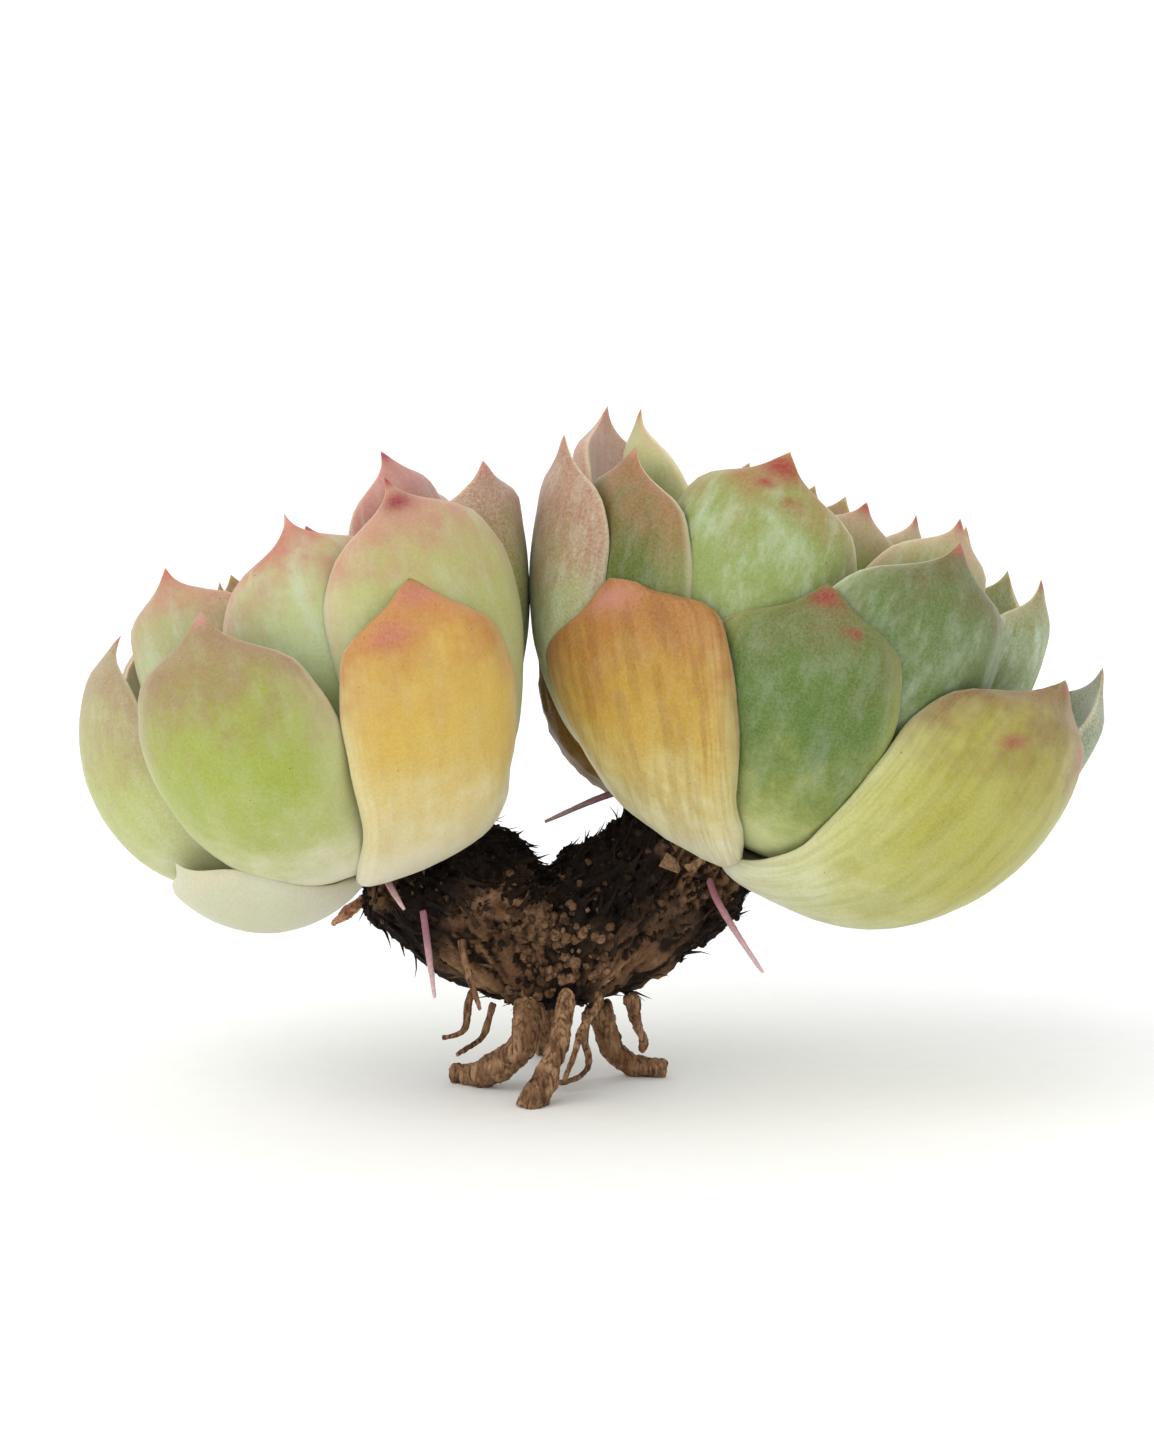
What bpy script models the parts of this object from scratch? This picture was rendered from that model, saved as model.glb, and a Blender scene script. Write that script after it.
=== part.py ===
"""A bare-rooted, two-headed rosette succulent that stands on its own cut roots.

Frame: metres, +Z up. The plant stands on the plane z = 0, and the origin is under the
middle of its box. -Y is the front. Two cupped rosettes of fleshy leaves grow on the two
arms of one forked woody stem. Woody roots come out under the fork and carry the plant.
"""

import math
from collections import namedtuple

import bmesh
import bpy
from mathutils import Matrix, Vector
from mathutils.bvhtree import BVHTree

MM = 0.001

# ---- clearances ----
TOUCH_GAP = 0.3 * MM  # between a root or a leaf base and the stem it grows from
LEAF_GAP = 0.45 * MM  # between two leaves that lie on each other

# ---- the forked stem ----
ARM_RADIUS = 7.6 * MM  # the thick woody arms
FORK_RADIUS = 8.6 * MM  # where the arms meet
FORK_POINT = Vector((-5.0, 0.0, 15.6)) * MM  # middle of the fork
LEFT_ARM = (Vector((-15.6, 0.0, 20.3)) * MM, Vector((-10.6, 0.0, 17.1)) * MM)
RIGHT_ARM = (Vector((0.6, 0.0, 16.9)) * MM, Vector((5.7, 0.0, 20.0)) * MM)
CORE_TOP_RADIUS = 1.6 * MM  # the stem's tip inside a rosette
STEM_RING_POINTS = 18
STEM_SECTION_STEP = 2.2 * MM
STEM_LUMP = 0.05  # how lumpy the bark is, as a share of the radius

# ---- the roots ----
TUBE_RESOLUTION = 2  # bevel_resolution of a root
GROUND_BLOCK = 80.0 * MM  # the block below z = 0 that the roots are cut flat by

# ---- leaves ----
LEAF_RING_POINTS = 12
LEAF_CUP_RADIUS = 15.0 * MM  # how strongly a leaf is hollowed across its width
OUTER_SHARE = 0.7  # share of the thickness that bulges on the leaf's back
LIFT_REACH = 8.0 * MM  # how deep an outer leaf may start inside the ones it is laid on
LIFT_STEP = 0.25 * MM
LIFT_TRIES = 30

# A leaf's outline: (share of its length, share of its half width, share of its thickness).
WIDEST_SHARE = 0.62
LEAF_STATIONS = (
    (0.00, 0.30, 0.50),
    (0.12, 0.48, 0.80),
    (0.28, 0.72, 1.00),
    (0.45, 0.91, 1.00),
    (WIDEST_SHARE, 1.00, 0.88),
    (0.77, 0.90, 0.70),
    (0.88, 0.60, 0.54),
    (0.935, 0.28, 0.40),
    (0.97, 0.10, 0.22),
)

# A leaf: its azimuth round the rosette's axis (0 is the front, 90 the right), how far it
# opens at its base and at its tip (degrees from the axis), its size, how broad it is for
# its length, how far it sways sideways from base to tip (degrees), how near its base it
# bends up, and how pointed its upper half is: under 1 it keeps its width nearer to the tip.
Leaf = namedtuple(
    "Leaf", "azimuth opening tip_opening size broad sway bend pointed", defaults=(1.0, 0.0, 1.15, 0.85)
)

# The heads stand as far apart as their leaves need: this share of both leaf lengths, and
# this share of both leaf thicknesses.
SPACING_BY_LENGTH = 0.2936
SPACING_BY_THICKNESS = 1.32

# A rosette: where its axis starts, how it leans, and its leaves from the lowest one up.
Rosette = namedtuple(
    "Rosette",
    "name crown lean_right lean_back core_radius core_height leaf_length leaf_width"
    " leaf_thickness leaves",
)

LEFT = Rosette(
    name="left",
    crown=Vector((-21.0, 0.0, 26.0)) * MM,
    lean_right=-20.0,
    lean_back=4.0,
    core_radius=5.6 * MM,
    core_height=11.0 * MM,
    leaf_length=36.0 * MM,
    leaf_width=21.5 * MM,
    leaf_thickness=4.0 * MM,
    leaves=(
        Leaf(-56, 140, 20, 0.64, broad=1.3),
        Leaf(18, 94, -22, 0.75, broad=1.22, sway=10, pointed=0.5),
        Leaf(-25, 110, -21, 1.19, broad=0.92, sway=8, pointed=0.7),
        Leaf(-81, 114, -47, 1.14),
        Leaf(31, 80, -11, 1.12, pointed=1.15),
        Leaf(152, 92, -14, 1.04),
        Leaf(60, 79, 16.5, 1.0, broad=1.25, bend=2.2, pointed=0.75),
        Leaf(-128, 100, -22, 0.96),
        Leaf(6, 82, -15, 1.04, pointed=1.15),
        Leaf(178, 88, -14, 0.94),
        Leaf(-36, 84, -20, 0.96),
        Leaf(118, 66, -14, 0.86),
        Leaf(-150, 70, -14, 0.74),
        Leaf(58, 60, -12, 0.9),
        Leaf(-20, 58, -14, 0.66),
        Leaf(160, 52, -12, 0.64),
        Leaf(20, 46, -12, 0.67),
        Leaf(-104, 46, -12, 0.58),
        Leaf(90, 32, -10, 0.5),
        Leaf(-140, 28, -10, 0.42),
    ),
)

RIGHT = Rosette(
    name="right",
    crown=Vector((0.0, 0.0, 26.5)) * MM,  # its x is worked out below
    lean_right=21.0,
    lean_back=4.0,
    core_radius=6.0 * MM,
    core_height=13.0 * MM,
    leaf_length=39.0 * MM,
    leaf_width=23.0 * MM,
    leaf_thickness=4.3 * MM,
    leaves=(
        Leaf(-22, 95, -22, 0.77, broad=1.38, sway=-32, pointed=0.45),
        Leaf(100, 128, 30, 0.7),
        Leaf(50, 122, -24, 1.2, broad=1.2, sway=10, pointed=0.6),
        Leaf(-122, 118, -14, 0.74),
        Leaf(6, 94, -20, 0.83, broad=1.14, sway=-6, pointed=0.6),
        Leaf(104, 106, -4, 1.1),
        Leaf(-76, 64, 21, 0.94, broad=1.15, pointed=0.75),
        Leaf(26, 88, -16, 1.08),
        Leaf(-172, 94, -16, 0.96),
        Leaf(-54, 76, 0, 0.92, broad=1.15, sway=-6),
        Leaf(126, 90, -14, 1.0),
        Leaf(-20, 76, -12, 1.0, pointed=0.7),
        Leaf(74, 88, -16, 0.96, broad=1.1),
        Leaf(-118, 74, 13, 0.98),
        Leaf(176, 74, -12, 0.86),
        Leaf(-146, 66, -8, 0.8),
        Leaf(44, 68, -16, 0.86),
        Leaf(112, 62, -14, 0.8),
        Leaf(-84, 58, 17, 0.84, broad=1.2),
        Leaf(10, 52, -14, 0.7),
        Leaf(-164, 46, -12, 0.66),
        Leaf(66, 38, -10, 0.66),
        Leaf(-44, 34, -8, 0.56),
        Leaf(150, 28, -8, 0.46),
    ),
)

HEAD_SPACING = SPACING_BY_LENGTH * (LEFT.leaf_length + RIGHT.leaf_length) + (
    SPACING_BY_THICKNESS * (LEFT.leaf_thickness + RIGHT.leaf_thickness)
)
RIGHT.crown.x = LEFT.crown.x + HEAD_SPACING

LEAF_GREEN = (0.42, 0.55, 0.30)
BARK_BROWN = (0.10, 0.06, 0.04)
ROOT_BROWN = (0.16, 0.10, 0.06)
ROOT_PINK = (0.66, 0.36, 0.38)
DRY_ORANGE = (0.45, 0.19, 0.06)


def clear_scene():
    for obj in list(bpy.data.objects):
        bpy.data.objects.remove(obj)


def new_collection(name):
    made = bpy.data.collections.new(name)
    bpy.context.scene.collection.children.link(made)
    return made


def make_material(name, colour, roughness):
    material = bpy.data.materials.new(name)
    material.use_nodes = True
    shader = material.node_tree.nodes["Principled BSDF"]
    shader.inputs["Base Color"].default_value = (*colour, 1.0)
    shader.inputs["Roughness"].default_value = roughness
    shader.inputs["Metallic"].default_value = 0.0
    return material


def mesh_object(name, points, faces, collection, material):
    mesh = bpy.data.meshes.new(name)
    mesh.from_pydata([tuple(p) for p in points], [], faces)
    mesh.update()
    obj = bpy.data.objects.new(name, mesh)
    collection.objects.link(obj)
    mesh.materials.append(material)
    mesh.shade_smooth()
    return obj


def joined_tree(objects):
    """A search tree of the faces of all the given objects."""
    points, faces = [], []
    for obj in objects:
        start = len(points)
        points.extend(vertex.co.copy() for vertex in obj.data.vertices)
        faces.extend(tuple(start + i for i in polygon.vertices) for polygon in obj.data.polygons)
    return BVHTree.FromPolygons(points, faces)


# ---- rosettes ----


def rosette_matrix(rosette):
    """From the rosette's own frame, where +Z is its axis and -Y its front, to the world."""
    lean = Matrix.Rotation(math.radians(rosette.lean_right), 3, "Y")
    back = Matrix.Rotation(-math.radians(rosette.lean_back), 3, "X")
    return Matrix.Translation(rosette.crown) @ (back @ lean).to_4x4()


def core_radius_at(rosette, height):
    """The stem's radius inside the rosette, which tapers to a rounded tip."""
    share = min(max(height / rosette.core_height, 0.0), 1.0)
    return CORE_TOP_RADIUS + (rosette.core_radius - CORE_TOP_RADIUS) * (1 - share**1.5)


def leaf_shape(rosette, leaf, base_height):
    """Rings of points from the leaf's base to its tip, the tip, and each ring's outward normal."""
    length = rosette.leaf_length * leaf.size
    half_width = rosette.leaf_width * leaf.size * leaf.broad / 2
    thickness = rosette.leaf_thickness * (0.4 + 0.6 * leaf.size)
    turn = Matrix.Rotation(math.radians(leaf.azimuth), 3, "Z")
    opening, tip_opening = math.radians(leaf.opening), math.radians(leaf.tip_opening)

    def direction(share):
        return tip_opening + (opening - tip_opening) * (1 - share) ** leaf.bend

    base = core_radius_at(rosette, base_height) + TOUCH_GAP
    place = Vector((0.0, -base, base_height))
    places, normals, previous = [], [], 0.0
    steps_per_station = 8
    shares = [station[0] for station in LEAF_STATIONS] + [1.0]
    for share in shares:
        step = (share - previous) * length / steps_per_station
        for index in range(steps_per_station):
            middle = previous + (share - previous) * (index + 0.5) / steps_per_station
            angle = direction(middle)
            place = place + Vector((0.0, -math.sin(angle), math.cos(angle))) * step
        places.append(place.copy())
        angle = direction(share)
        normals.append(Vector((0.0, -math.cos(angle), -math.sin(angle))))
        previous = share

    width_axis = Vector((1.0, 0.0, 0.0))
    sway = math.radians(leaf.sway)
    rings = []
    for index, (share, width_share, thick_share) in enumerate(LEAF_STATIONS):
        if share > WIDEST_SHARE:
            width_share **= leaf.pointed
        half, thick = half_width * width_share, thickness * thick_share
        normal = normals[index]
        ring = []
        for corner in range(LEAF_RING_POINTS):
            angle = 2 * math.pi * corner / LEAF_RING_POINTS
            across, through = math.cos(angle), math.sin(angle)
            lateral = half * math.copysign(abs(across) ** 0.8, across)
            depth = thick * through * (OUTER_SHARE if through > 0 else 1 - OUTER_SHARE)
            bend = lateral / LEAF_CUP_RADIUS
            sideways = LEAF_CUP_RADIUS * math.sin(bend)
            inward = LEAF_CUP_RADIUS * (1 - math.cos(bend))
            point = places[index] + width_axis * sideways + normal * (depth - inward)
            ring.append(point)
        rings.append(ring)
    tip = places[-1]

    origin = Vector((0.0, -base, base_height))

    def placed(point, share):
        offset = point - origin
        offset = Matrix.Rotation(sway * share, 3, "Y") @ offset
        return turn @ (origin + offset)

    rings = [
        [placed(point, LEAF_STATIONS[index][0]) for point in ring] for index, ring in enumerate(rings)
    ]
    tip = placed(tip, 1.0)
    normals = [turn @ normal for normal in normals]
    return rings, tip, normals


def lifted_rings(rings, normals, needed):
    """The rings pressed outwards by the needed amounts, which are first evened out."""
    count = LEAF_RING_POINTS
    # a point on the back rides with the point on the face under it
    needed = [[max(row[i], row[(count - i) % count]) for i in range(count)] for row in needed]
    for _ in range(3):
        smooth = []
        for r, row in enumerate(needed):
            above, below = needed[min(r + 1, len(needed) - 1)], needed[max(r - 1, 0)]
            around = [(row[i - 1] + row[(i + 1) % count] + above[i] + below[i]) / 4 for i in range(count)]
            smooth.append([max(own, mean) for own, mean in zip(row, around)])
        needed = smooth
    lifted = [
        [point + normal * amount for point, amount in zip(ring, row)]
        for ring, normal, row in zip(rings, normals, needed)
    ]
    return lifted, needed


def swollen(rings, tip):
    """The leaf's points a little outside its skin, to test that it keeps its gap."""
    points = []
    for ring in rings:
        centre = sum(ring, Vector()) / len(ring)
        points.extend(point + (point - centre).normalized() * LEAF_GAP / 2 for point in ring)
    return [*points, tip]


def lift_off(rings, tip, normals, faces, inner_leaves):
    """Presses the leaf outwards until it lies on the leaves inside it and crosses none."""
    count = LEAF_RING_POINTS
    needed = []
    for ring, normal in zip(rings, normals):
        row = []
        for point in ring:
            hit = inner_leaves.ray_cast(point + normal * LIFT_REACH, -normal, 2 * LIFT_REACH)
            depth = LIFT_REACH - hit[3] + LEAF_GAP if hit[0] is not None else 0.0
            row.append(max(depth, 0.0))
        needed.append(row)
    for _ in range(LIFT_TRIES):
        lifted, evened = lifted_rings(rings, normals, needed)
        lifted_tip = tip + normals[-1] * (sum(evened[-1]) / count)
        own = BVHTree.FromPolygons(swollen(lifted, lifted_tip), faces)
        crossing = {pair[0] for pair in own.overlap(inner_leaves)}
        if not crossing:
            break
        corners = {corner for face in crossing for corner in faces[face]}
        for corner in corners:
            ring_index = min(corner // count, len(rings) - 1)
            needed[ring_index][corner % count] += LIFT_STEP
    return lifted, lifted_tip


def leaf_faces(ring_count):
    count = LEAF_RING_POINTS
    faces = [tuple(range(count))]
    for r in range(ring_count - 1):
        for i in range(count):
            a, b = r * count + i, r * count + (i + 1) % count
            faces.append((a, a + count, b + count, b))
    last, tip = (ring_count - 1) * count, ring_count * count
    for i in range(count):
        faces.append((last + i, tip, last + (i + 1) % count))
    return faces


def build_rosette(rosette, collection, material):
    matrix = rosette_matrix(rosette)
    total = len(rosette.leaves)
    points_inside, faces_inside = [], []
    for order in reversed(range(total)):
        leaf = rosette.leaves[order]
        base_height = rosette.core_height * (order / total) ** 0.9
        rings, tip, normals = leaf_shape(rosette, leaf, base_height)
        faces = leaf_faces(len(rings))
        if points_inside:
            inner_leaves = BVHTree.FromPolygons(points_inside, faces_inside)
            rings, tip = lift_off(rings, tip, normals, faces, inner_leaves)
        points = [point for ring in rings for point in ring] + [tip]
        start = len(points_inside)
        points_inside.extend(points)
        faces_inside.extend(tuple(start + i for i in face) for face in faces)
        world = [matrix @ point for point in points]
        mesh_object(f"{rosette.name}_leaf_{order + 1:02d}", world, faces, collection, material)


# ---- the forked stem ----


def spline_points(points, step):
    """Points every `step` or so along a smooth line through the given points."""
    ends = [points[0] * 2 - points[1], *points, points[-1] * 2 - points[-2]]
    line = []
    for before, start, end, after in zip(ends, ends[1:], ends[2:], ends[3:]):
        count = max(1, round((end - start).length / step))
        for index in range(count):
            t = index / count
            line.append(
                0.5
                * (
                    start * 2
                    + (end - before) * t
                    + (before * 2 - start * 5 + end * 4 - after) * t * t
                    + (start * 3 - before - end * 3 + after) * t * t * t
                )
            )
    return [*line, points[-1].copy()]


def core_line(rosette):
    """The stem's middle line inside a rosette, from its tip down to the crown, with radii."""
    matrix = rosette_matrix(rosette)
    count = round(rosette.core_height / STEM_SECTION_STEP)
    heights = [rosette.core_height * (1 - index / count) for index in range(count)]
    return [(matrix @ Vector((0, 0, h)), core_radius_at(rosette, h)) for h in heights]


def stem_line():
    """The stem's middle line and radii, from the left rosette's tip down and up to the right's."""
    crowns = (rosette_matrix(LEFT).to_translation(), rosette_matrix(RIGHT).to_translation())
    low_points = [crowns[0], *LEFT_ARM, FORK_POINT, *RIGHT_ARM, crowns[1]]
    middle = spline_points(low_points, STEM_SECTION_STEP)
    arm_length = 5 * MM
    line = core_line(LEFT)
    for place in middle:
        from_left, from_right = (place - crowns[0]).length, (place - crowns[1]).length
        core, near = (
            (LEFT.core_radius, from_left) if from_left < from_right else (RIGHT.core_radius, from_right)
        )
        to_arm = min(near / arm_length, 1.0)
        to_fork = max(0.0, 1.0 - (place - FORK_POINT).length / (12 * MM))
        radius = core + (ARM_RADIUS - core) * to_arm + (FORK_RADIUS - ARM_RADIUS) * to_fork
        line.append((place, radius))
    return line + core_line(RIGHT)[::-1]


def bark_share(angle, along):
    """How far the bark swells or sinks at this angle and place along the stem."""
    lumps = math.sin(3 * angle + 5 * along) + 0.6 * math.sin(5 * angle - 9 * along + 1.3)
    return 1 + STEM_LUMP * lumps / 1.6


def build_stem(leaf_tree, collection, material):
    """One woody body: two tapered cores inside the rosettes and two arms that meet in a fork."""
    line = stem_line()
    front = Vector((0.0, -1.0, 0.0))
    count = STEM_RING_POINTS
    rows = []
    for index, (place, radius) in enumerate(line):
        before, after = line[max(index - 1, 0)][0], line[min(index + 1, len(line) - 1)][0]
        up = (after - before).cross(front).normalized()
        row = []
        for corner in range(count):
            angle = 2 * math.pi * corner / count
            outward = (front * math.cos(angle) + up * math.sin(angle)).normalized()
            reach = radius * bark_share(angle, index / len(line))
            hit = leaf_tree.ray_cast(place, outward, reach + 2 * TOUCH_GAP)
            if hit[0] is not None:
                reach = min(reach, hit[3] - TOUCH_GAP)
            row.append((place, outward, reach))
        rows.append(row)

    faces = []
    for r in range(len(rows) - 1):
        for i in range(count):
            a, b = r * count + i, r * count + (i + 1) % count
            faces.append((a, b, b + count, a + count))
    first, last = len(rows) * count, len(rows) * count + 1
    end = (len(rows) - 1) * count
    for i in range(count):
        faces.append((first, (i + 1) % count, i))
        faces.append((last, end + i, end + (i + 1) % count))
    tips = [
        line[0][0] + (line[0][0] - line[1][0]).normalized() * TOUCH_GAP,
        line[-1][0] + (line[-1][0] - line[-2][0]).normalized() * TOUCH_GAP,
    ]

    for _ in range(LIFT_TRIES):
        bark = [[place + outward * reach for place, outward, reach in row] for row in rows]
        swollen_bark = [
            place + outward * (reach + TOUCH_GAP / 2) for row in rows for place, outward, reach in row
        ]
        own = BVHTree.FromPolygons([*swollen_bark, *tips], faces)
        crossing = {pair[0] for pair in own.overlap(leaf_tree)}
        if not crossing:
            break
        for corner in {corner for face in crossing for corner in faces[face] if corner < first}:
            place, outward, reach = rows[corner // count][corner % count]
            rows[corner // count][corner % count] = (place, outward, reach - LIFT_STEP)
    points = [point for row in bark for point in row] + tips
    return mesh_object("forked_stem", points, faces, collection, material)


# ---- roots ----


def root_tube(name, points, radii, collection, material):
    """A root as a bevelled curve through its points, made a closed mesh with its caps welded on."""
    line = spline_points(points, 1.1 * MM)
    curve = bpy.data.curves.new(name, "CURVE")
    curve.dimensions = "3D"
    curve.bevel_depth = 1.0
    curve.bevel_resolution = TUBE_RESOLUTION
    curve.use_fill_caps = True
    spline = curve.splines.new("POLY")
    spline.points.add(len(line) - 1)
    for index, point in enumerate(line):
        share = index / (len(line) - 1) * (len(radii) - 1)
        whole = min(int(share), len(radii) - 2)
        radius = radii[whole] + (radii[whole + 1] - radii[whole]) * (share - whole)
        spline.points[index].co = (*point, 1.0)
        spline.points[index].radius = radius
    curve_object = bpy.data.objects.new(name + "_line", curve)
    collection.objects.link(curve_object)
    evaluated = curve_object.evaluated_get(bpy.context.evaluated_depsgraph_get())
    mesh = bpy.data.meshes.new_from_object(evaluated)
    mesh.name = name
    welded = bmesh.new()
    welded.from_mesh(mesh)
    bmesh.ops.remove_doubles(welded, verts=welded.verts, dist=0.01 * MM)
    bmesh.ops.recalc_face_normals(welded, faces=welded.faces)
    welded.to_mesh(mesh)
    welded.free()
    mesh.materials.clear()
    mesh.materials.append(material)
    mesh.shade_smooth()
    tube = bpy.data.objects.new(name, mesh)
    tube.matrix_world = curve_object.matrix_world
    collection.objects.link(tube)
    bpy.data.objects.remove(curve_object)
    return tube


def grown_from(stem_tree, direction, route):
    """The route with its start set on the stem's bark, straight out of it for a short way."""
    inside = FORK_POINT
    place, normal, _, _ = stem_tree.ray_cast(inside, Vector(direction).normalized())
    return [place + normal * TOUCH_GAP, place + normal * (TOUCH_GAP + 1.2 * MM), *route]


def lying_on_front(stem_tree, route, radius):
    """A thin root's route, moved forward where it must be to lie on the front of the stem."""
    seated = []
    for point in route:
        start = Vector((point.x, -40 * MM, point.z))
        hit = stem_tree.ray_cast(start, Vector((0, 1, 0)))
        if hit[0] is not None:
            point = Vector((point.x, min(point.y, hit[0].y - radius - 2 * TOUCH_GAP), point.z))
        seated.append(point)
    return seated


def mm(*values):
    return Vector(values) * MM


def build_roots(stem_tree, collection, cutters, material):
    """Four woody roots that carry the plant, each cut flat where it meets the ground."""
    bpy.ops.mesh.primitive_cube_add(size=GROUND_BLOCK, location=(0, 0, -GROUND_BLOCK / 2))
    ground = bpy.context.object
    ground.name = "ground_cutter"
    ground.display_type = "WIRE"
    ground.hide_render = True
    for holder in list(ground.users_collection):
        holder.objects.unlink(ground)
    cutters.objects.link(ground)

    routes = {
        "root_left": (
            (-0.2, -0.6, -0.8),
            [mm(-7.4, -8.0, 5.6), mm(-9.4, -5.8, 2.9), mm(-12.2, -2.6, 1.0), mm(-14.6, -0.8, 0.5)],
            (1.7, 1.6, 1.6, 1.5, 1.2),
        ),
        "root_front": (
            (0.2, -0.75, -0.62),
            [mm(-4.2, -10.8, 5.0), mm(-5.6, -12.2, 2.2), mm(-6.6, -12.8, 0.0), mm(-7.0, -13.0, -1.5)],
            (1.0, 1.0, 1.1, 1.5, 1.9),
        ),
        "root_right": (
            (0.5, 0.1, -0.8),
            [mm(0.9, 1.8, 4.4), mm(1.8, 2.2, 2.2), mm(4.0, 2.0, 0.9), mm(7.0, 1.4, 0.6)],
            (1.5, 1.3, 1.3, 1.3, 1.1),
        ),
        "root_back": (
            (-0.1, 0.8, -0.6),
            [mm(-5.4, 10.6, 5.0), mm(-5.2, 12.4, 2.0), mm(-5.0, 13.4, -1.2)],
            (1.2, 1.2, 1.3, 1.5),
        ),
    }
    for name, (direction, route, radii) in routes.items():
        points = grown_from(stem_tree, direction, route)
        root = root_tube(name, points, [radius * MM for radius in radii], collection, material)
        cut = root.modifiers.new("cut flat on the ground", "BOOLEAN")
        cut.operation = "DIFFERENCE"
        cut.solver = "EXACT"
        cut.object = ground


def build_rootlets(stem_tree, collection, material):
    """Thin roots round the four thick ones."""
    routes = {
        "rootlet_left_high": ((-0.75, -0.35, -0.55), [mm(-13.4, -4.6, 5.9), mm(-15.6, -5.4, 5.4)], 0.4),
        "rootlet_left_low": ((-0.6, -0.1, -0.8), [mm(-11.6, -0.8, 4.6), mm(-14.2, -4.2, 3.4)], 0.35),
        "rootlet_loop": (
            (0.55, -0.6, -0.6),
            [mm(-1.6, -8.4, 7.0), mm(-2.2, -11.0, 5.4), mm(-3.4, -13.4, 2.6)],
            0.4,
        ),
        "rootlet_broken": (
            (0.4, -0.2, -0.9),
            [mm(-1.4, -2.2, 4.6), mm(-0.9, -4.0, 2.2), mm(-2.6, -6.0, 1.2), mm(-4.2, -6.4, 1.0)],
            0.4,
        ),
        "root_flap": (
            (0.75, -0.15, -0.6),
            [mm(3.6, -1.0, 6.6), mm(4.6, -0.6, 4.4), mm(4.4, 0.4, 3.0)],
            0.6,
        ),
    }
    for name, (direction, route, radius) in routes.items():
        points = grown_from(stem_tree, direction, route)
        end = 0.6 * radius * MM
        root_tube(name, points, [1.2 * radius * MM, radius * MM, end], collection, material)
    route = [mm(-13.6, -9, 16.0), mm(-12.9, -9, 12.6), mm(-11.7, -8.6, 8.8)]
    radius = 0.42 * MM
    points = lying_on_front(stem_tree, spline_points(route, 1.5 * MM), radius)
    root_tube("rootlet_front", points, [radius, radius, 0.6 * radius], collection, material)


def build_aerial_roots(stem_tree, collection, material):
    """Thin pink roots that the stem grew in the air, hanging in front of its bark."""
    arm = ARM_RADIUS / MM
    routes = {
        "aerial_root_left": [mm(-21.4, -7, 22.4), mm(-20.4, -8, 20.8), mm(-19.2, -8.5, 18.9)],
        "aerial_root_middle": [mm(-17.4, -7, 18.9), mm(-16.8, -9, 14.6), mm(-16.2, -9.5, 10.2)],
        "aerial_root_right": [
            mm(11.0, -7, 21.8),
            mm(11.6, -9, 20.2),
            mm(13.8, -10, 16.6),
            mm(16.3, -11, 13.0),
        ],
        # this one stands on top of the right arm and reaches over the fork
        "aerial_root_window": [
            mm(4.6, 0.5, 21.9 + arm),
            mm(2.4, 1.2, 21.7 + arm),
            mm(0.2, 2.2, 20.9 + arm),
            mm(-2.6, 2.8, 19.6 + arm),
            mm(-5.4, 3, 18.3 + arm),
        ],
    }
    radius = 0.38 * MM
    for name, route in routes.items():
        points = lying_on_front(stem_tree, spline_points(route, 1.5 * MM), radius)
        root_tube(name, points, [radius, radius, 0.5 * radius], collection, material)


def build_dry_scale(stem_tree, collection, material):
    """What is left of a shed leaf, a small dry plate against the back of the left arm."""
    half_thickness = 0.5 * MM
    bpy.ops.mesh.primitive_uv_sphere_add(segments=12, ring_count=8, radius=1.0)
    scale = bpy.context.object
    scale.name = scale.data.name = "dry_leaf_scale"
    place, normal, _, _ = stem_tree.ray_cast(LEFT_ARM[0], Vector((-0.86, 0.3, -0.36)).normalized())
    middle = place + normal * (half_thickness + 3 * TOUCH_GAP) + mm(-1.4, 0, 0.2)
    turn = Matrix.Rotation(math.radians(-40), 4, "Y")
    size = Matrix.Diagonal((2.4 * MM, 1.7 * MM, half_thickness, 1.0))
    scale.data.transform(Matrix.Translation(middle) @ turn @ size)
    scale.data.materials.append(material)
    scale.data.shade_smooth()
    for holder in list(scale.users_collection):
        holder.objects.unlink(scale)
    collection.objects.link(scale)


def centre_on_origin(collection):
    """Moves the plant so that the origin is under the middle of its box."""
    corners = [v.co for obj in collection.objects for v in obj.data.vertices]
    middle_x = (min(c.x for c in corners) + max(c.x for c in corners)) / 2
    middle_y = (min(c.y for c in corners) + max(c.y for c in corners)) / 2
    for obj in collection.objects:
        obj.data.transform(Matrix.Translation((-middle_x, -middle_y, 0.0)))


def main():
    clear_scene()
    plant = new_collection("two_headed_succulent")
    cutters = new_collection("cutters")
    leaf_flesh = make_material("leaf_flesh", LEAF_GREEN, 0.45)
    bark = make_material("bark", BARK_BROWN, 0.85)
    root_wood = make_material("root_wood", ROOT_BROWN, 0.85)
    young_root = make_material("young_root", ROOT_PINK, 0.5)
    dry_leaf = make_material("dry_leaf", DRY_ORANGE, 0.7)
    for rosette in (LEFT, RIGHT):
        build_rosette(rosette, plant, leaf_flesh)
    leaves = joined_tree(plant.objects)
    stem = build_stem(leaves, plant, bark)
    stem_tree = joined_tree([stem])
    build_roots(stem_tree, plant, cutters, root_wood)
    build_rootlets(stem_tree, plant, root_wood)
    build_aerial_roots(stem_tree, plant, young_root)
    build_dry_scale(stem_tree, plant, dry_leaf)
    centre_on_origin(plant)


main()
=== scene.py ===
import math
import random

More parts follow.
